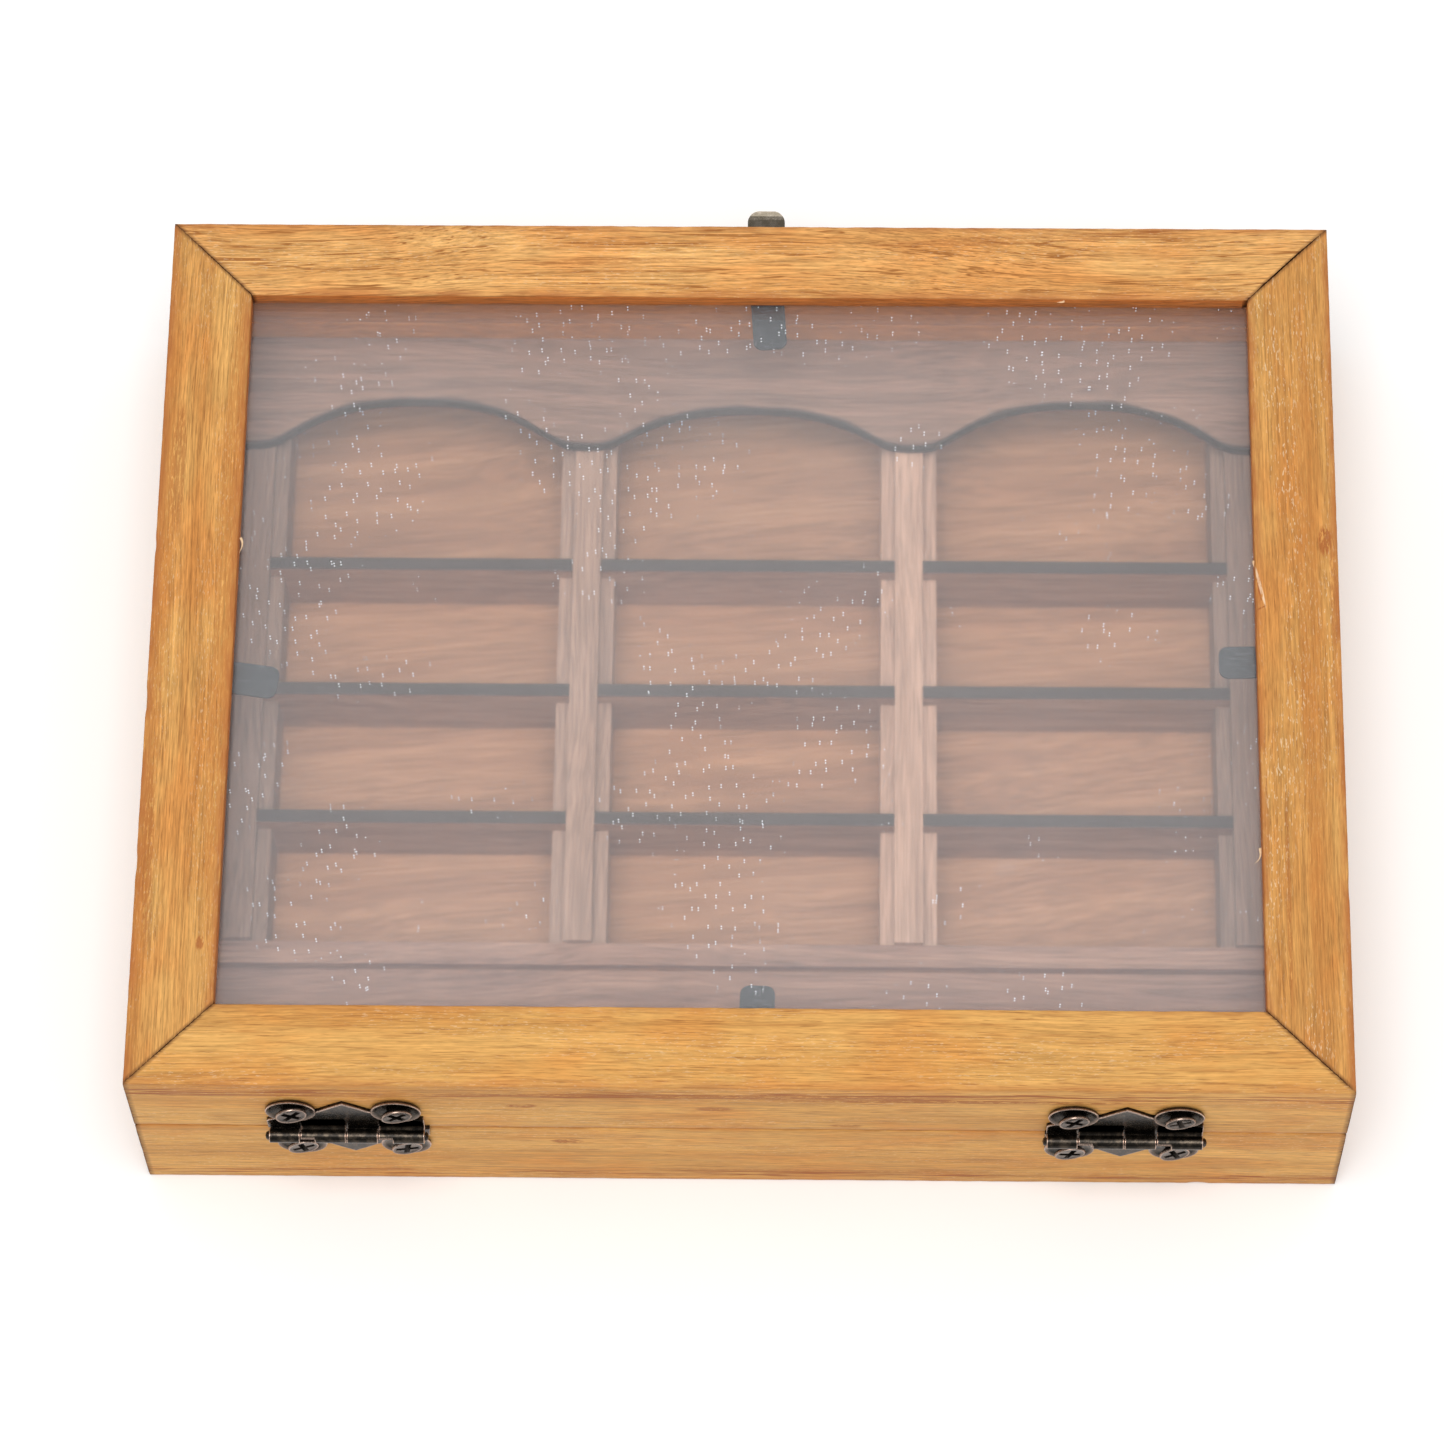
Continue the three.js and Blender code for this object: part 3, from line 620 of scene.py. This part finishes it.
DARK_MARK = (0.34, 0.09, 0.022)
BROWN_MARK = (0.36, 0.12, 0.03)
INNER_BAND = (0.50, 0.19, 0.045)
TORN = (0.93, 0.70, 0.47)
TORN_SHADOW = (0.30, 0.09, 0.03)
MARKS = {
    # centre, turn about Z in degrees, half length, half width, tint, amount
    "lid_right_rail": [
        ((122.3, 24.5, 54), 88, 3.6, 1.5, DARK_MARK, 0.75),
        ((123.8, 12, 54), 90, 14, 0.9, BROWN_MARK, 0.5),
        ((107.8, 14.4, 54), 101, 4.8, 0.22, TORN_SHADOW, 0.9),
        ((108.3, 14.2, 54), 102, 5.2, 0.34, TORN, 0.9),
        ((108.2, 8.6, 54), 28, 1.5, 0.18, TORN_SHADOW, 0.8),
        ((112.5, -58, 54), 90, 26, 0.5, BROWN_MARK, 0.5),
        ((118.5, 0, 54), 90, 85, 2.2, INNER_BAND, 0.45),
    ],
    "lid_left_rail": [
        ((-110.8, -69, 54), 86, 1.6, 0.9, DARK_MARK, 0.7),
        ((-121, 40, 54), 90, 16, 1.6, BROWN_MARK, 0.5),
        ((-109.3, 8, 54), 90, 80, 2.6, INNER_BAND, 0.55),
        ((-123.2, -5, 54), 90, 90, 1.8, INNER_BAND, 0.5),
        ((-122.5, -50, 54), 92, 22, 1.3, BROWN_MARK, 0.45),
    ],
    "lid_near_rail": [
        ((-44.5, -100, 43), 0, 3.2, 1.2, BROWN_MARK, 0.85),
        ((-5, -100, 42), 0, 3.8, 1.3, BROWN_MARK, 0.7),
        ((-10, -100, 49), 0, 60, 1.2, BROWN_MARK, 0.75),
        ((44, -100, 47), 0, 40, 0.9, BROWN_MARK, 0.8),
        ((22, -100, 33), 0, 3.5, 0.8, BROWN_MARK, 0.7),
        ((-86, -100, 48), 0, 24, 0.8, BROWN_MARK, 0.5),
    ],
    "box_near_wall": [
        ((-36, -100, 22.5), 0, 3.4, 1.4, BROWN_MARK, 0.85),
        ((18, -100, 6), 0, 40, 0.9, BROWN_MARK, 0.45),
    ],
    "lid_far_rail": [
        ((60, 97, 54), 3, 34, 1.2, BROWN_MARK, 0.4),
        ((-30, 91, 54), 2, 20, 0.9, BROWN_MARK, 0.35),
    ],
}
GOLD = {"light": (0.78, 0.43, 0.15), "deep": (0.62, 0.305, 0.095), "orange": (0.69, 0.28, 0.075)}
HONEY = {"light": (0.71, 0.385, 0.115), "deep": (0.58, 0.29, 0.08), "orange": (0.64, 0.265, 0.06)}
BROWNER = {"light": (0.67, 0.36, 0.11), "deep": (0.52, 0.235, 0.062), "orange": (0.57, 0.21, 0.048)}
FIGURES = ("slant", "lines", "pores", "flecks", "edges", "contrast")
RAIL_LOOKS = {
    # grain direction, base colours, and how strong each of the FIGURES is
    "near": ("X", HONEY, (0.25, 0.45, 0.6, 0.25, 0.4, 0.9)),
    "right": ("Y", BROWNER, (0.3, 0.4, 0.5, 0.5, 0.8, 1.1)),
    "far": ("X", GOLD, (1.0, 1.0, 0.8, 0.25, 0.6, 1.4)),
    "left": ("Y", BROWNER, (0.2, 0.45, 0.6, 0.3, 0.8, 1.25)),
}
# the lowest and highest point of each dark streak
STREAKS = {"lid_near_rail": (48, 52), "box_near_wall": (3, 6)}
DENTS = {
    # along the rail, height, radius, depth
    "lid_left_rail": [(14.3, 54, 3, 0.45), (51, 54, 2.5, 0.4), (-22, 54, 2, 0.3)],
    "lid_right_rail": [(-55, 54, 2.5, 0.3)],
    "lid_near_rail": [(-108, 54, 2, 0.25)],
    "box_near_wall": [(96, 0, 2.5, 0.3)],
}


def make_rails():
    low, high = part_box("lid_near_rail")
    lid_bottom, lid_top = low.z / MM, high.z / MM
    flange_width = (high.y - low.y) / MM
    flange_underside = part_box("pane")[1].z / MM
    body_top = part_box("box_near_wall")[1].z / MM
    wall = (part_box("box_near_wall")[1].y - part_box("box_near_wall")[0].y) / MM
    lid_section = [
        (0, lid_bottom),
        (wall, lid_bottom),
        (wall, flange_underside),
        (flange_width, flange_underside),
        (flange_width, lid_top),
        (0, lid_top),
    ]
    box_section = [(0, 0), (wall, 0), (wall, body_top), (0, body_top)]
    for number, (side, (along, tones, strengths)) in enumerate(RAIL_LOOKS.items()):
        for kind, body, section in (
            (f"lid_{side}_rail", "lid", lid_section),
            (f"box_{side}_wall", "box", box_section),
        ):
            seed = 2 * number + (body == "box") + 1
            look = dict(tones, streak=STREAKS.get(kind), **dict(zip(FIGURES, strengths)))
            wood = frame_wood("wood_" + kind, along, seed, look, MARKS.get(kind, ()))
            rail(kind, side, section, wood, body, seed, DENTS.get(kind, ()))


# ---- Hinges and screws -----------------------------------------------------------------------

LOBE_RADIUS = 5.2
LOBE_X = 10.8
LOBE_REACH = 9.05
PEAK_REACH = 13.4
VALLEY_X = 5.6
VALLEY_REACH = 8.7
HANDLE_REACH = 11.3
LEAF_FOOT = {"lid": -0.2, "box": 0.4}
LEAF_THICKNESS = 0.85
EAR = (16.1, 4.3)
KNUCKLE_RADIUS = 1.5
KNUCKLE_BORE = 0.84
KNUCKLE_GAP = 0.2
KNUCKLE_SPLITS = (-16.1, -9.6, -0.1, 6.5, 16.1)
NECK_REACH = 5.0
NOTCH = 2.9
RIM = 0.1
WRAP_START = math.radians(35)
FULL_WRAP = math.radians(335)
HOOK_WRAP = math.radians(142)
DISH = (
    # radius, distance out from the wood, edge wear
    (0.0, 0.0, 0.0),
    (4.7, 0.0, 0.0),
    (5.1, 0.25, 0.0),
    (5.2, 0.6, 0.1),
    (5.2, 0.85, 1.0),
    (5.08, 0.98, 1.0),
    (4.88, 0.96, 0.3),
    (4.3, 0.62, 0.0),
    (3.6, 0.32, 0.0),
    (0.0, 0.3, 0.0),
)


def arc(centre, radius, start, end, steps):
    return [
        (
            centre[0] + radius * math.cos(start + (end - start) * i / steps),
            centre[1] + radius * math.sin(start + (end - start) * i / steps),
        )
        for i in range(steps + 1)
    ]


def inset_outline(points, amount):
    """The closed outline moved inwards by amount. The points run anticlockwise."""
    moved = []
    for i, point in enumerate(points):
        here = Vector(point)
        before = (here - Vector(points[i - 1])).normalized()
        after = (Vector(points[(i + 1) % len(points)]) - here).normalized()
        normal = Vector((-before.y - after.y, before.x + after.x)).normalized()
        lean = max(0.6, normal.dot(Vector((-before.y, before.x))))
        moved.append(tuple(here + normal * amount / lean))
    return moved


def stacked(bm, layer, rows):
    """Skins outlines of equal length. rows holds (3D points, edge wear) in order.

    The wear is one number, or a list with a number for each point."""
    rings = []
    for points, wear in rows:
        ring = [bm.verts.new(p) for p in points]
        wears = wear if isinstance(wear, list) else [wear] * len(ring)
        for vertex, share in zip(ring, wears):
            vertex[layer] = share
        rings.append(ring)
    count = len(rings[0])
    for before, after in zip(rings, rings[1:]):
        for i in range(count):
            j = (i + 1) % count
            bm.faces.new((before[i], before[j], after[j], after[i]))
    bm.faces.new(rings[0][::-1])
    bm.faces.new(rings[-1])


def plate_outline(foot):
    """The middle of a leaf as (along the pin, height from the pin), anticlockwise."""
    valley = math.atan2(VALLEY_REACH - LOBE_REACH, VALLEY_X - LOBE_X)
    right = [(EAR[0], foot), (EAR[0], EAR[1] - 0.6), (EAR[0] - 0.5, EAR[1])]
    right += arc((LOBE_X, LOBE_REACH), LOBE_RADIUS - 0.3, math.radians(-52), valley, 20)
    for i in range(1, 9):
        t = i / 8
        handle = (VALLEY_X / 2, HANDLE_REACH)
        x = (1 - t) ** 2 * VALLEY_X + 2 * t * (1 - t) * handle[0]
        z = (1 - t) ** 2 * VALLEY_REACH + 2 * t * (1 - t) * handle[1] + t * t * PEAK_REACH
        right.append((x, z))
    left = [(-x, z) for x, z in reversed(right[:-1])]
    return right + left


def knuckle_outline(plate_back, plate_front, wrap):
    """A knuckle's section as (y, height) from the pin, and the wear of each of its points.

    The sheet leaves the plate behind the pin and rolls over its top to the wrap angle. Where it
    stops short, its edge is rubbed bright."""
    steps = 30 if wrap == FULL_WRAP else 10
    outside = arc((0, 0), KNUCKLE_RADIUS, WRAP_START, wrap, steps)
    inside = arc((0, 0), KNUCKLE_BORE, wrap, WRAP_START, steps)
    neck = [
        (plate_front - 0.45, 0.3),
        (plate_back, 0.3),
        (plate_back, NECK_REACH),
        (plate_front, NECK_REACH),
        (plate_front, KNUCKLE_RADIUS),
        (plate_front - 0.2, KNUCKLE_RADIUS - 0.4),
    ]
    points = outside + inside + neck
    wears = [0.0] * len(points)
    if wrap == HOOK_WRAP:
        wears[steps - 1 : steps + 2] = (0.6, 1.0, 1.0)
    return points, wears


def knuckle(bm, layer, section, left, right, place, left_end="rubbed", right_end="rubbed"):
    """One knuckle between two points along the pin.

    A rubbed end is softened and bright. A notched end is bright only below the hook beside it.
    A joined end runs on into its neighbour."""
    points, wears = section
    soft = inset_outline(points, RIM)
    hook_end = KNUCKLE_RADIUS * math.sin(HOOK_WRAP)
    below = [float(z < 0 or (y < 0 and z < hook_end)) for y, z in points]
    rows = []
    for at, inward, kind in ((left, RIM, left_end), (right, -RIM, right_end)):
        wear = {"rubbed": [1.0] * len(points), "notched": below, "joined": wears}[kind]
        end = [(soft if kind == "rubbed" else points, at, wear)]
        end += [(points, at + inward, wear), (points, at + 2.2 * inward, wears)]
        rows += end if inward > 0 else reversed(end)
    stacked(bm, layer, [([place(x, p) for p in ring], wear) for ring, x, wear in rows])


def dish(bm, layer, place):
    """A lobe of a leaf: a shallow cup with a flared rim, turned about its screw."""
    around = 44
    rings = []
    for radius, out, wear in DISH:
        if radius == 0:
            points = [place(0, 0, out)]
        else:
            turns = [2 * math.pi * i / around for i in range(around)]
            points = [place(radius * math.cos(a), radius * math.sin(a), out) for a in turns]
        ring = [bm.verts.new(p) for p in points]
        for vertex in ring:
            vertex[layer] = wear
        rings.append(ring)
    for before, after in zip(rings, rings[1:]):
        for i in range(around):
            j = (i + 1) % around
            corners = [before[i % len(before)], before[j % len(before)]]
            corners += [after[j % len(after)], after[i % len(after)]]
            bm.faces.new(list(dict.fromkeys(corners)))


def hinge_leaf(hand, part, pin, flip, own, material):
    """One leaf of a hinge: its pressed plate, its two cupped lobes and its rolled knuckles."""
    name = f"{hand}_hinge_{part}_leaf"
    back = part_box(name)[1].y / MM
    front = back - LEAF_THICKNESS
    pin_x, pin_y, pin_z = pin
    screws = [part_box(f"{hand}_hinge_{part}_screw_{end}") for end in "ab"]
    middle = sum((low.x + high.x) / 4 for low, high in screws) / MM

    bm = bmesh.new()
    layer = bm.verts.layers.float.new("edge")
    outline = plate_outline(LEAF_FOOT[part])
    rim = inset_outline(outline, 0.14)
    flat = inset_outline(outline, 0.4)
    rubbed = [1.0 if z > EAR[1] - 1 else 0.1 for x, z in outline]
    rows = (
        (outline, back, 0.0),
        (outline, front + 0.4, 0.0),
        (outline, front + 0.15, rubbed),
        (rim, front, rubbed),
        (flat, front, 0.0),
    )
    placed = [
        ([(middle + x, y, pin_z + flip * z) for x, z in points], wear) for points, y, wear in rows
    ]
    stacked(bm, layer, placed)
    for sign in (-1, 1):
        dish(
            bm,
            layer,
            lambda x, z, out, side=sign: (
                middle + side * LOBE_X + x,
                back - out,
                pin_z + flip * (LOBE_REACH + z),
            ),
        )
    roll = knuckle_outline(back - pin_y, front - pin_y, FULL_WRAP)
    hook = knuckle_outline(back - pin_y, front - pin_y, HOOK_WRAP)

    def place(x, point):
        return (pin_x + x, pin_y + point[0], pin_z + flip * point[1])

    for number, (start, end) in enumerate(zip(KNUCKLE_SPLITS, KNUCKLE_SPLITS[1:])):
        if number % 2 != own:
            continue
        start += KNUCKLE_GAP / 2
        end -= KNUCKLE_GAP / 2
        if part == "lid":
            knuckle(bm, layer, hook, start, start + NOTCH, place, right_end="joined")
            knuckle(bm, layer, roll, start + NOTCH, end, place, left_end="notched")
        else:
            knuckle(bm, layer, roll, start, end, place)
    piece = new_piece(name + "_pressing", bm, material, part, smooth=42)
    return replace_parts(piece, name)


SCREW_PROFILE = (
    # share of the radius, share of the height, edge wear
    (0.4, -0.35, 0.0),
    (0.97, 0.6, 0.0),
    (1.0, 0.7, 0.3),
    (1.0, 0.9, 0.6),
    (0.97, 1.0, 0.8),
    (0.91, 1.0, 0.5),
    (0.86, 0.95, 0.05),
    (0.4, 0.98, 0.15),
    (0.15, 0.98, 0.1),
)


def screw_mesh(radius, height, name):
    """A countersunk head with a rolled rim and a cross recess, facing +Z, as a mesh in metres."""
    steps = 48
    profile = [(r * radius, z * height) for r, z, wear in SCREW_PROFILE]
    wears = [wear for r, z, wear in SCREW_PROFILE]
    bm = bmesh.new()
    layer = bm.verts.layers.float.new("edge")
    turns = [2 * math.pi * i / steps for i in range(steps)]
    rows = [
        ([(r * math.cos(a), r * math.sin(a), z) for a in turns], wear)
        for (r, z), wear in zip(profile, wears)
    ]
    stacked(bm, layer, rows)
    head = bpy.data.meshes.new(name)
    bmesh.ops.recalc_face_normals(bm, faces=bm.faces)
    bm.to_mesh(head)
    bm.free()

    recess = bpy.data.meshes.new(name + "_recess")
    cutter = bmesh.new()
    layer = cutter.verts.layers.float.new("edge")
    half = radius * 0.18
    for long_x, long_y in ((radius * 0.72, half), (half, radius * 0.72)):
        corners = [(long_x, long_y), (-long_x, long_y), (-long_x, -long_y), (long_x, -long_y)]
        floor = [(x * 0.6, y * 0.6, 0.1 * height) for x, y in corners]
        mouth = [(x * 1.1, y * 1.15, height * 1.2) for x, y in corners]
        stacked(cutter, layer, [(floor, 0), (mouth, 0)])
    bmesh.ops.recalc_face_normals(cutter, faces=cutter.faces)
    cutter.to_mesh(recess)
    cutter.free()

    head_object = bpy.data.objects.new(name, head)
    recess_object = bpy.data.objects.new(name + "_recess", recess)
    bpy.context.scene.collection.objects.link(head_object)
    bpy.context.scene.collection.objects.link(recess_object)
    cut = head_object.modifiers.new("recess", "BOOLEAN")
    cut.object = recess_object
    cut.solver = "EXACT"
    cut.use_self = True
    shaped = head_object.evaluated_get(bpy.context.evaluated_depsgraph_get())
    mesh = bpy.data.meshes.new_from_object(shaped)
    bpy.data.objects.remove(head_object)
    bpy.data.objects.remove(recess_object)
    mesh.transform(Matrix.Scale(MM, 4))
    smooth_by_angle(mesh, 38)
    return mesh


# head radius, head height
HINGE_SCREW = (3.2, 1.6)
LATCH_SCREW = (1.9, 0.9)
SCREW_TURNS = (38, 70, 20, 55, 12, 82, 47)
TILT_ROOM = 0.2
SCREW_TILTS = {
    # pitch and roll in degrees, for the screws a and b
    "catch_plate": ((3, 2), (-2, -3)),
    "latch_plate": ((2, -3), (-3, 2)),
    "left_hinge_box": ((2, 10), (1, 9)),
    "left_hinge_lid": ((-2, 9), (2, 8)),
    "right_hinge_box": ((2, 7), (-1, 9)),
    "right_hinge_lid": ((1, 7), (2, 7)),
}


def set_screw(name, mesh, size, material, body, outward, number):
    """Puts a screw head where the CAD screw's is, turned and tilted a little as driven by hand.

    A tilt lifts one side of the rim. The head sinks by what that takes beyond TILT_ROOM, so that
    facing heads stay apart when the lid is turned right over."""
    radius, head_height = size
    plate, end = name.split("_screw_")
    pitch, roll = SCREW_TILTS[plate]["ab".index(end)]
    rise = radius * math.sin(math.radians(math.hypot(pitch, roll)))
    low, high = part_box(name)
    centre = (low + high) / 2
    head_top = low.y if outward < 0 else high.y
    seat = head_top - outward * (head_height + max(0.0, rise - TILT_ROOM)) * MM
    piece = bpy.data.objects.new(name + "_head", mesh)
    bpy.context.scene.collection.objects.link(piece)
    face = Matrix.Rotation(-outward * QUARTER_TURN, 4, "X")
    spin = Matrix.Rotation(math.radians(SCREW_TURNS[number % len(SCREW_TURNS)]), 4, "Z")
    tilt = Matrix.Rotation(math.radians(pitch), 4, "X")
    tilt = tilt @ Matrix.Rotation(math.radians(roll), 4, "Y")
    piece.matrix_world = Matrix.Translation((centre.x, seat, centre.z)) @ face @ tilt @ spin
    if not mesh.materials:
        mesh.materials.append(material)
    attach(piece, body)
    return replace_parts(piece, name)


def make_hardware():
    leaf_bronze = antique_bronze("leaf_bronze", (0.013, 0.0105, 0.008), (0.06, 0.046, 0.033), 0.85)
    screw_bronze = antique_bronze("screw_bronze", (0.03, 0.024, 0.02), (0.085, 0.066, 0.055), 0.85)
    olive_bronze = antique_bronze("olive_bronze", (0.095, 0.08, 0.058), (0.14, 0.12, 0.095), 0.8)
    for hand in ("left", "right"):
        low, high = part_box(hand + "_hinge_pin")
        pin = tuple((low + high) / 2 / MM)
        hinge_leaf(hand, "lid", pin, 1, 1, leaf_bronze)
        hinge_leaf(hand, "box", pin, -1, 0, leaf_bronze)
        dress(hand + "_hinge_pin", screw_bronze, bevel=0)
    for name in ("catch_plate", "latch_plate", "latch_tongue"):
        dress(name, olive_bronze, bevel=0.12)
    dress("latch_pin", screw_bronze, bevel=0.1)

    big = screw_mesh(*HINGE_SCREW, "hinge_screw")
    small = screw_mesh(*LATCH_SCREW, "latch_screw")
    screws = [name for name in sorted(nodes) if "screw" in name]
    for number, name in enumerate(screws):
        body = "lid" if "lid" in name or "latch" in name else "box"
        if "hinge" in name:
            set_screw(name, big, HINGE_SCREW, screw_bronze, body, -1, number)
        else:
            set_screw(name, small, LATCH_SCREW, screw_bronze, body, 1, number)


# ---- Rack, pane and tabs ---------------------------------------------------------------------

POST_TONES = (0.52, 0.68, 0.93, 0.52)
SOOT_REACH = 1.3
HEADER_STEP = 1.0


def header_edge():
    """The header's cut edge, read from the CAD node as sorted (x, y) points in millimetres."""
    lowest = {}
    for vertex in nodes["arched_header"].data.vertices:
        x, y = round(vertex.co.x / MM, 2), vertex.co.y / MM
        lowest[x] = min(y, lowest.get(x, y))
    return sorted(lowest.items())


def height_at(points, x):
    for (x0, y0), (x1, y1) in zip(points, points[1:]):
        if x <= x1:
            return y0 + (y1 - y0) * (x - x0) / (x1 - x0)
    return points[-1][1]


def make_header(material):
    """The arched board again, finer, with soot that spreads a little way in from its cut edge."""
    low, high = (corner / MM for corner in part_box("arched_header"))
    points = header_edge()
    steps = round((high.x - low.x) / HEADER_STEP)
    bm = bmesh.new()
    layer = bm.verts.layers.float.new("soot")
    rows = []
    for step in range(steps + 1):
        x = low.x + (high.x - low.x) * step / steps
        y = height_at(points, x)
        spread = SOOT_REACH * (0.8 + 0.7 * noise.noise(Vector((x * 0.12, 0, 7))))
        profile = (
            (y + 0.15, low.z, 1.0),
            (y, low.z + 0.15, 1.0),
            (y, high.z - 0.15, 1.0),
            (y + 0.15, high.z, 1.0),
            (y + 0.5 * spread, high.z, 0.75),
            (y + spread, high.z, 0.0),
            (high.y, high.z, 0.0),
            (high.y, low.z, 0.0),
        )
        ring = []
        for across, z, soot in profile:
            vertex = bm.verts.new((x, across, z))
            vertex[layer] = soot
            ring.append(vertex)
        rows.append(ring)
    for before, after in zip(rows, rows[1:]):
        for i in range(len(before)):
            j = (i + 1) % len(before)
            bm.faces.new((before[i], before[j], after[j], after[i]))
    bm.faces.new(rows[0])
    bm.faces.new(rows[-1])
    piece = new_piece("arched_header_board", bm, material, "box", smooth=40)
    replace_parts(piece, "arched_header")


def make_inside():
    brown = (0.37, 0.19, 0.115)
    dark_brown = (0.22, 0.10, 0.06)
    board = rack_wood("wood_header", "X", 5, (0.285, 0.157, 0.104), (0.175, 0.092, 0.06))
    plank = rack_wood("wood_shelves", "X", 7, brown, dark_brown, "Z")
    strip = rack_wood("wood_sill", "X", 9, (0.36, 0.19, 0.12), (0.21, 0.10, 0.065))
    back = rack_wood("wood_back", "X", 11, (0.42, 0.20, 0.092), (0.28, 0.117, 0.05), slant=5)
    for number, (name, tone) in enumerate(zip(on_nodes("post_"), POST_TONES)):
        light = tuple(tone * c for c in (0.53, 0.315, 0.215))
        dark = tuple(tone * c for c in (0.41, 0.23, 0.15))
        dress(name, rack_wood("wood_" + name, "Y", 3 + number, light, dark), 0.2)
    for name in on_nodes("shelf_"):
        dress(name, plank, 0.15)
    make_header(board)
    dress("rack_sill", strip, 0.2)
    dress("front_ledge", strip, 0.2)
    dress("back_panel", back, 0.1)


def make_lid_parts():
    dress("pane", clear_pane(), 0)
    steel = black_steel()
    for name in on_nodes("pane_tab_"):
        dress(name, steel, 0.1)


SPLINTERS = [
    # start (x, y), direction in degrees, length
    ((107.2, 20), 262, 2.4),
    ((106.9, -46), 255, 3.0),
    ((-107.0, 24), 285, 3.0),
    ((68.0, 82.1), 190, 2.6),
]


def make_splinters():
    """Torn slivers of wood that stand off the flange's inner edge, lying just over the pane."""
    material = bare_fibre()
    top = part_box("pane")[1].z / MM
    for number, ((x, y), heading, length) in enumerate(SPLINTERS):
        bm = bmesh.new()
        rings = []
        steps = 8
        for i in range(steps + 1):
            t = i / steps
            angle = math.radians(heading + 22 * math.sin(2.5 * t + number))
            centre = Vector((x + length * t * math.cos(angle), y + length * t * math.sin(angle), 0))
            centre.z = top + 3.4 - 1.6 * t
            half = 0.24 * (1 - t) + 0.03
            across = Vector((-math.sin(angle), math.cos(angle), 0))
            rings.append(
                [
                    bm.verts.new(centre + across * half),
                    bm.verts.new(centre + Vector((0, 0, half * 0.5))),
                    bm.verts.new(centre - across * half),
                    bm.verts.new(centre - Vector((0, 0, half * 0.5))),
                ]
            )
        for before, after in zip(rings, rings[1:]):
            for i in range(4):
                j = (i + 1) % 4
                bm.faces.new((before[i], before[j], after[j], after[i]))
        bm.faces.new(rings[0])
        bm.faces.new(rings[-1])
        new_piece(f"splinter_{number + 1}", bm, material, "lid", smooth=60)


# ---- Stage and light -------------------------------------------------------------------------

FLOOR_SIZE = 6000
WORLD_LOW = 0.3
WORLD_HIGH = 0.78
# metres, and watts
KEY_PLACE = (-0.1, -1.1, 3.9)
KEY_SIZE = (2.2, 2.2)
KEY_POWER = 88


def make_floor():
    bm = bmesh.new()
    half = FLOOR_SIZE / 2 * MM
    signs = ((-1, -1), (1, -1), (1, 1), (-1, 1))
    bm.faces.new([bm.verts.new((x * half, y * half, 0)) for x, y in signs])
    mesh = bpy.data.meshes.new("floor")
    bm.to_mesh(mesh)
    bm.free()
    floor = bpy.data.objects.new("floor", mesh)
    floor.location.z = -0.05 * MM
    mesh.materials.append(plain_floor())
    bpy.context.scene.collection.objects.link(floor)


def area_light(name, place, target, size, power):
    data = bpy.data.lights.new(name, "AREA")
    data.shape = "RECTANGLE"
    data.size, data.size_y = size
    data.energy = power
    light = bpy.data.objects.new(name, data)
    aim = Vector(target) - Vector(place)
    turn = aim.to_track_quat("-Z", "Y").to_matrix().to_4x4()
    light.matrix_world = Matrix.Translation(place) @ turn
    bpy.context.scene.collection.objects.link(light)


def make_light():
    """A white room, brighter overhead, with one large soft box above the near side."""
    world = bpy.data.worlds.new("studio")
    world.use_nodes = True
    tree = world.node_tree
    direction = tree.nodes.new("ShaderNodeTexCoord").outputs["Generated"]
    split = tree.nodes.new("ShaderNodeSeparateXYZ")
    dome = tree.nodes.new("ShaderNodeMapRange")
    dome.inputs["From Min"].default_value = 0.05
    dome.inputs["From Max"].default_value = 0.7
    dome.inputs["To Min"].default_value = WORLD_LOW
    dome.inputs["To Max"].default_value = WORLD_HIGH
    tree.links.new(direction, split.inputs[0])
    tree.links.new(split.outputs["Z"], dome.inputs["Value"])
    tree.links.new(dome.outputs["Result"], tree.nodes["Background"].inputs["Strength"])
    tree.nodes["Background"].inputs["Color"].default_value = (1, 1, 1, 1)
    bpy.context.scene.world = world
    area_light("key", KEY_PLACE, (0, 0, 0), KEY_SIZE, KEY_POWER)
    bpy.context.scene.view_settings.view_transform = "Standard"


# ---- Assembly --------------------------------------------------------------------------------

make_camera()
make_light()
make_floor()
make_rails()
make_inside()
make_lid_parts()
make_hardware()
make_splinters()
